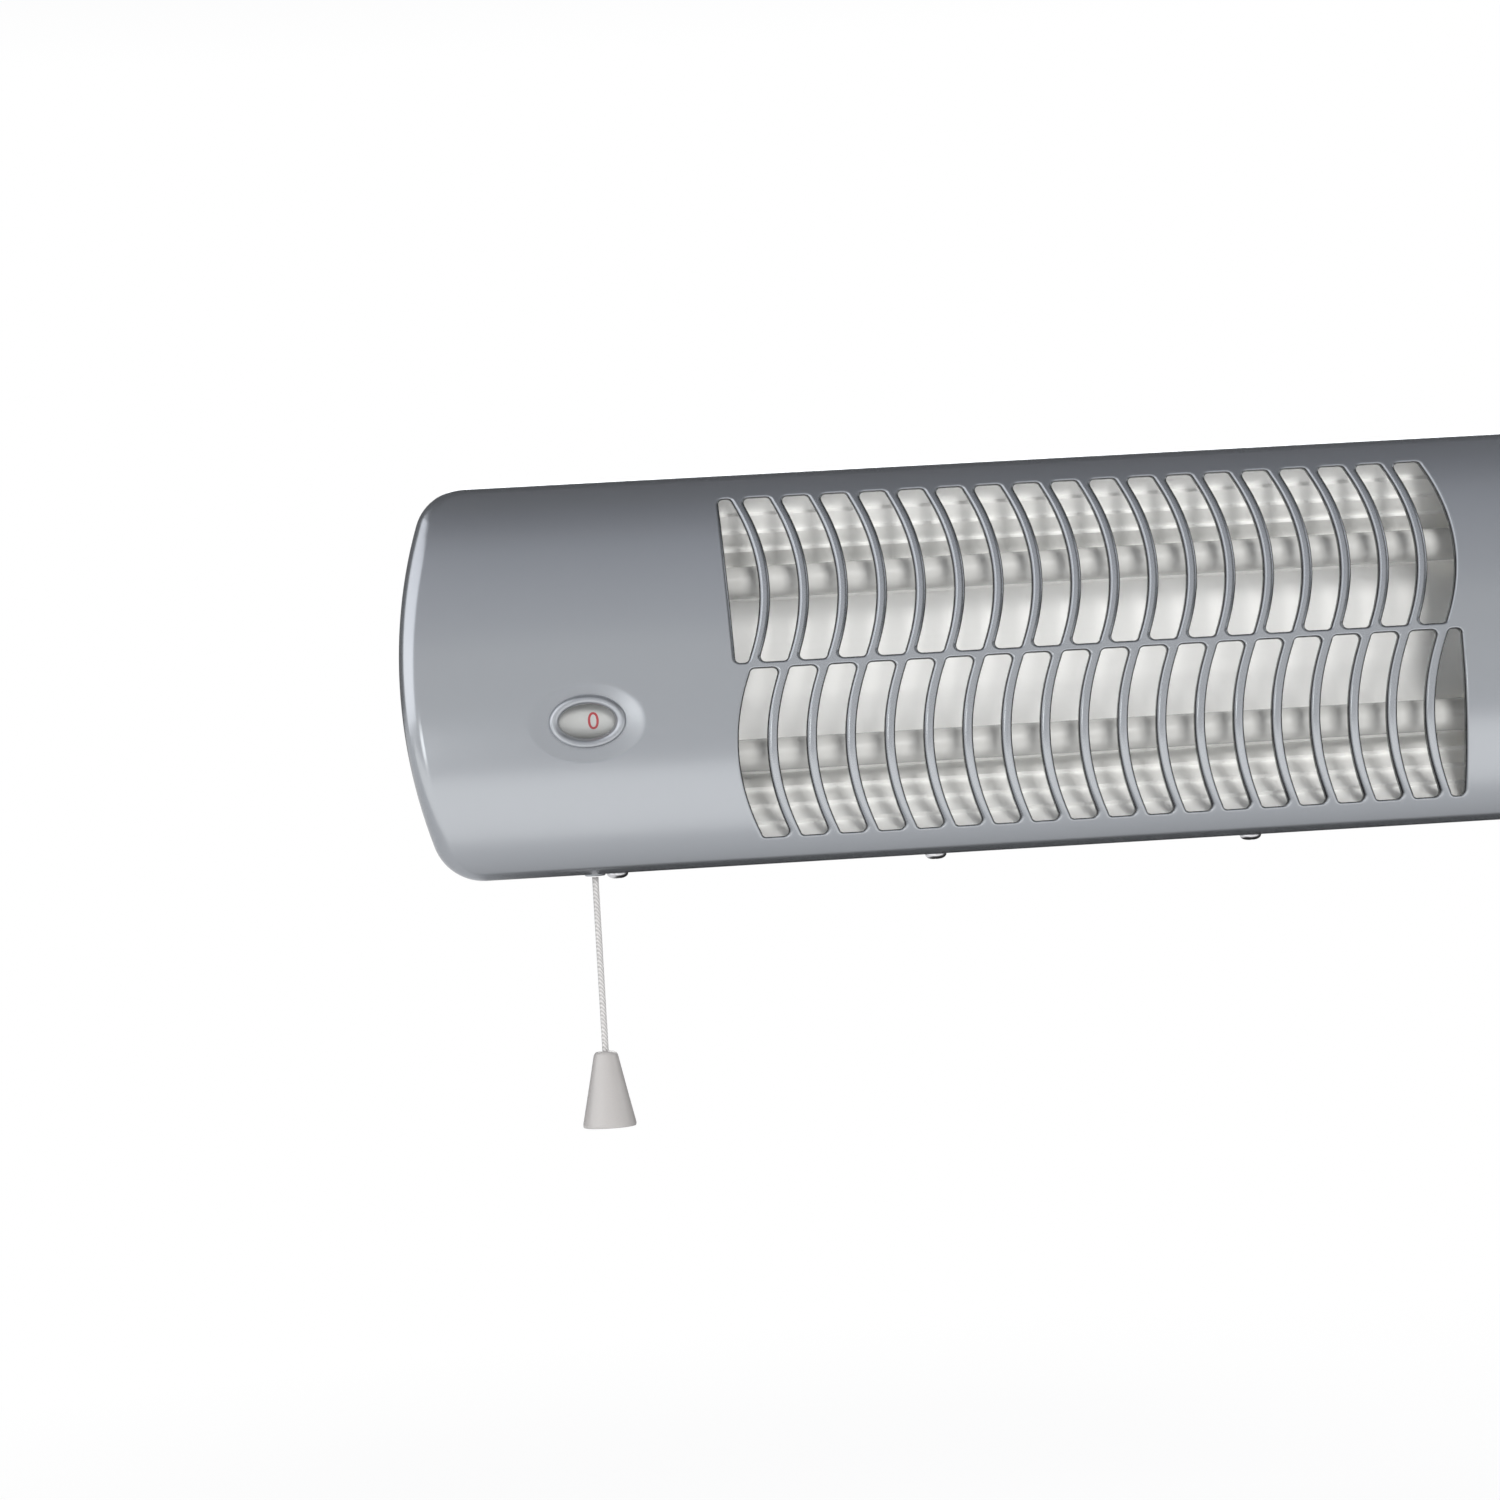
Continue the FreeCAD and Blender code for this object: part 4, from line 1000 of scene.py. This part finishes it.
def driveScrews(size):
    first = makeScrew(size)
    middle = (size["count"] - 1) / 2
    places = [(i - middle) * size["spacing"] for i in range(size["count"])]
    for label, xs, side in (("bottom", places, -1), ("top", (places[0], places[-1]), 1)):
        made = []
        for i, x in enumerate(xs):
            twin = copyPiece(first, "%sScrew%d" % (label, i))
            flip = math.pi if side < 0 else 0.0
            turn = size["firstTurn"] + size["nextTurn"] * i
            settle(twin, (x, size["y"], side * size["seat"]), (flip, 0, turn))
            made.append(twin)
        joined = joinPieces(label + "CoverScrews", made)
        finishPiece(joined, "heater", "zinc_steel", label + "_cover_screws")
    bpy.data.objects.remove(first)


driveScrews(coverScrew)
print("cover screws driven")


# knob, cord bush and cable gland
pullKnob = {
    "sides": 64, "foot": -166 * mm, "smooth": 45,
    "rings": [(3.2, 4.0), (7.6, 4.0), (8.5, 0.7), (8.85, 0.15), (9.3, 0.02), (9.7, 0.15), (9.88, 0.6),
              (9.85, 1.4), (8.4, 8.0), (6.9, 15.0), (5.45, 22.0), (4.72, 25.6), (4.45, 26.6),
              (4.0, 27.35), (3.3, 27.8), (2.4, 27.97), (1.6, 28.0), (1.3, 27.8), (1.26, 27.0),
              (1.26, 22.0)],
}
cordBush = {
    "sides": 40, "foot": -73.2 * mm, "smooth": 40,
    "rings": [(1.6, 0.3), (1.85, 0.05), (2.3, 0.0), (3.1, 0.05), (3.65, 0.2), (3.86, 0.45), (3.86, 0.66),
              (2.75, 0.66), (2.75, 3.6), (1.6, 3.6)],
}
cableGland = {
    "sides": 72, "place": (203.5 * mm, -42 * mm, -30 * mm), "smooth": 25,
    "ribs": (0.5, 5.6), "ribEvery": 3, "ribDepth": 0.94,
    "rings": [(4.0, -4.7), (8.4, -4.7), (8.4, -0.9), (6.0, -0.9), (6.0, 0.05), (8.7, 0.05), (8.95, 0.3),
              (8.95, 0.6), (8.95, 5.5), (8.95, 5.9), (8.2, 7.4), (6.9, 9.4), (6.2, 9.95), (5.0, 9.95),
              (4.2, 9.6), (4.0, 8.6)],
}


def turnOnCord(name, size, body, slot, replaced, ends="cap"):
    piece = turnPiece(name, size["sides"], size["rings"], ends)
    settle(piece, (pullCord["x"], pullCord["y"], size["foot"]))
    smoothByAngle(piece, size["smooth"])
    return finishPiece(piece, body, slot, replaced)


def makeGland(size):
    gland = turnPiece("cableGland", size["sides"], size["rings"], ends="bridge")
    low, high = (value * mm for value in size["ribs"])
    for v in gland.data.vertices:  # every third line of the grip is drawn in
        line = round(math.atan2(v.co.y, v.co.x) / (2 * math.pi) * size["sides"])
        if low < v.co.z < high and line % size["ribEvery"] == 0:
            v.co.x, v.co.y = v.co.x * size["ribDepth"], v.co.y * size["ribDepth"]
    settle(gland, size["place"], (-math.pi / 2, 0, 0))
    smoothByAngle(gland, size["smooth"])
    return finishPiece(gland, "heater", "bush_plastic", "cable_gland")


knobPiece = turnOnCord("pullKnob", pullKnob, "cord", "knob_plastic", "pull_knob")
turnOnCord("cordBush", cordBush, "heater", "bezel_plastic", "cord_bush", ends="bridge")
makeGland(cableGland)
print("knob, bush and gland turned")


# wound wire: the two heating coils and the return spring
heatingCoil = {
    "half": 141.5 * mm, "y": -68 * mm, "rise": 32 * mm, "radius": 2.65 * mm, "wire": 0.5 * mm, "turns": 118,
    "steps": 12, "sides": 6, "smooth": 60,
}
returnSpring = {"radius": 3.2 * mm, "wire": 0.38 * mm, "turns": 9, "steps": 20, "sides": 8, "smooth": 60}


def windWire(name, axis, place, length, size):
    bpy.ops.object.select_all(action="DESELECT")
    bpy.ops.mesh.primitive_circle_add(vertices=size["sides"], radius=size["wire"], fill_type="NOTHING")
    thing = bpy.context.object
    thing.name = name
    bpy.ops.object.mode_set(mode="EDIT")
    bpy.ops.mesh.select_all(action="SELECT")
    bpy.ops.transform.rotate(value=math.pi / 2, orient_axis="X", center_override=(0, 0, 0))
    out = (0, 0, size["radius"]) if axis == "X" else (size["radius"], 0, 0)
    bpy.ops.transform.translate(value=out)
    bpy.ops.object.mode_set(mode="OBJECT")
    winding = thing.modifiers.new("winding", "SCREW")
    winding.axis = axis
    winding.angle = 2 * math.pi
    winding.screw_offset = (length - 2 * size["wire"]) / size["turns"]
    winding.iterations = size["turns"]
    winding.steps = size["steps"]
    winding.render_steps = size["steps"]
    applyModifiers(thing)
    bpy.ops.object.mode_set(mode="EDIT")
    bpy.ops.mesh.select_all(action="SELECT")
    bpy.ops.mesh.remove_doubles(threshold=weld)
    bpy.ops.mesh.select_all(action="DESELECT")
    bpy.ops.mesh.select_non_manifold()
    bpy.ops.mesh.edge_face_add()
    bpy.ops.object.mode_set(mode="OBJECT")
    faceOutward(thing)
    settle(thing, place)
    smoothByAngle(thing, size["smooth"])
    return thing


for level, side in (("upper", 1), ("lower", -1)):
    start = (-heatingCoil["half"] + heatingCoil["wire"], heatingCoil["y"], side * heatingCoil["rise"])
    coil = windWire(level + "HeatingCoil", "X", start, 2 * heatingCoil["half"], heatingCoil)
    finishPiece(coil, "heater", "coil_wire", level + "_heating_coil")


def windSpring(size):
    low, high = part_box("return_spring")
    middle = [(a + b) / 2 for a, b in zip(low, high)]
    tall = high[2] - low[2]
    spring = windWire("returnSpring", "Z", (middle[0], middle[1], low[2] + size["wire"]), tall, size)
    finishPiece(spring, "heater", "zinc_steel", "return_spring")
    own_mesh(spring)


windSpring(returnSpring)
print("coils and spring wound")


# wing nuts on the tilting pivots
wingNut = {
    "hubStart": 149.9 * mm, "pivotY": -20 * mm, "sides": 32, "earSides": 20, "smooth": 45,
    "hub": [(3.1, 0.0), (4.8, 0.0), (5.0, 0.3), (4.9, 2.0), (4.4, 4.3), (4.0, 5.0), (3.4, 5.0),
            (3.1, 4.7)],
    "ear": [(2.0, 1.2, 2.6, 2.6), (2.3, 1.0, 4.2, 3.4), (2.7, 0.9, 6.2, 4.6), (2.9, 0.9, 8.0, 5.5),
            (2.6, 0.9, 9.5, 6.0), (1.8, 0.75, 10.5, 6.4), (0.8, 0.4, 11.0, 6.5)],
}


def makeWingNut(size):
    # its axis is Z, its ears stand along X
    hub = turnPiece("wingNutHub", size["sides"], size["hub"], ends="bridge")
    ears = []
    for turn in (0, math.pi):
        ear = turnPiece("wingNutEar", size["earSides"], size["ear"])
        for v in ear.data.vertices:  # lay the ear over: its length runs out from the hub
            v.co = Vector((v.co.z, v.co.y, v.co.x))
        faceOutward(ear)
        settle(ear, (0, 0, 0), (0, 0, turn))
        ears.append(ear)
    nut = joinPieces("wingNut", [hub] + ears)
    smoothByAngle(nut, size["smooth"])
    return nut


def fitWingNuts(size):
    first = makeWingNut(size)
    made = []
    for side in (-1, 1):
        twin = copyPiece(first, "wingNut%d" % side)
        settle(twin, (side * size["hubStart"], size["pivotY"], 0), (0, -side * math.pi / 2, 0))
        made.append(twin)
    bpy.data.objects.remove(first)
    finishPiece(joinPieces("wingNuts", made), "wall_mount", "zinc_steel", "wing_nuts")


fitWingNuts(wingNut)
print("wing nuts fitted")
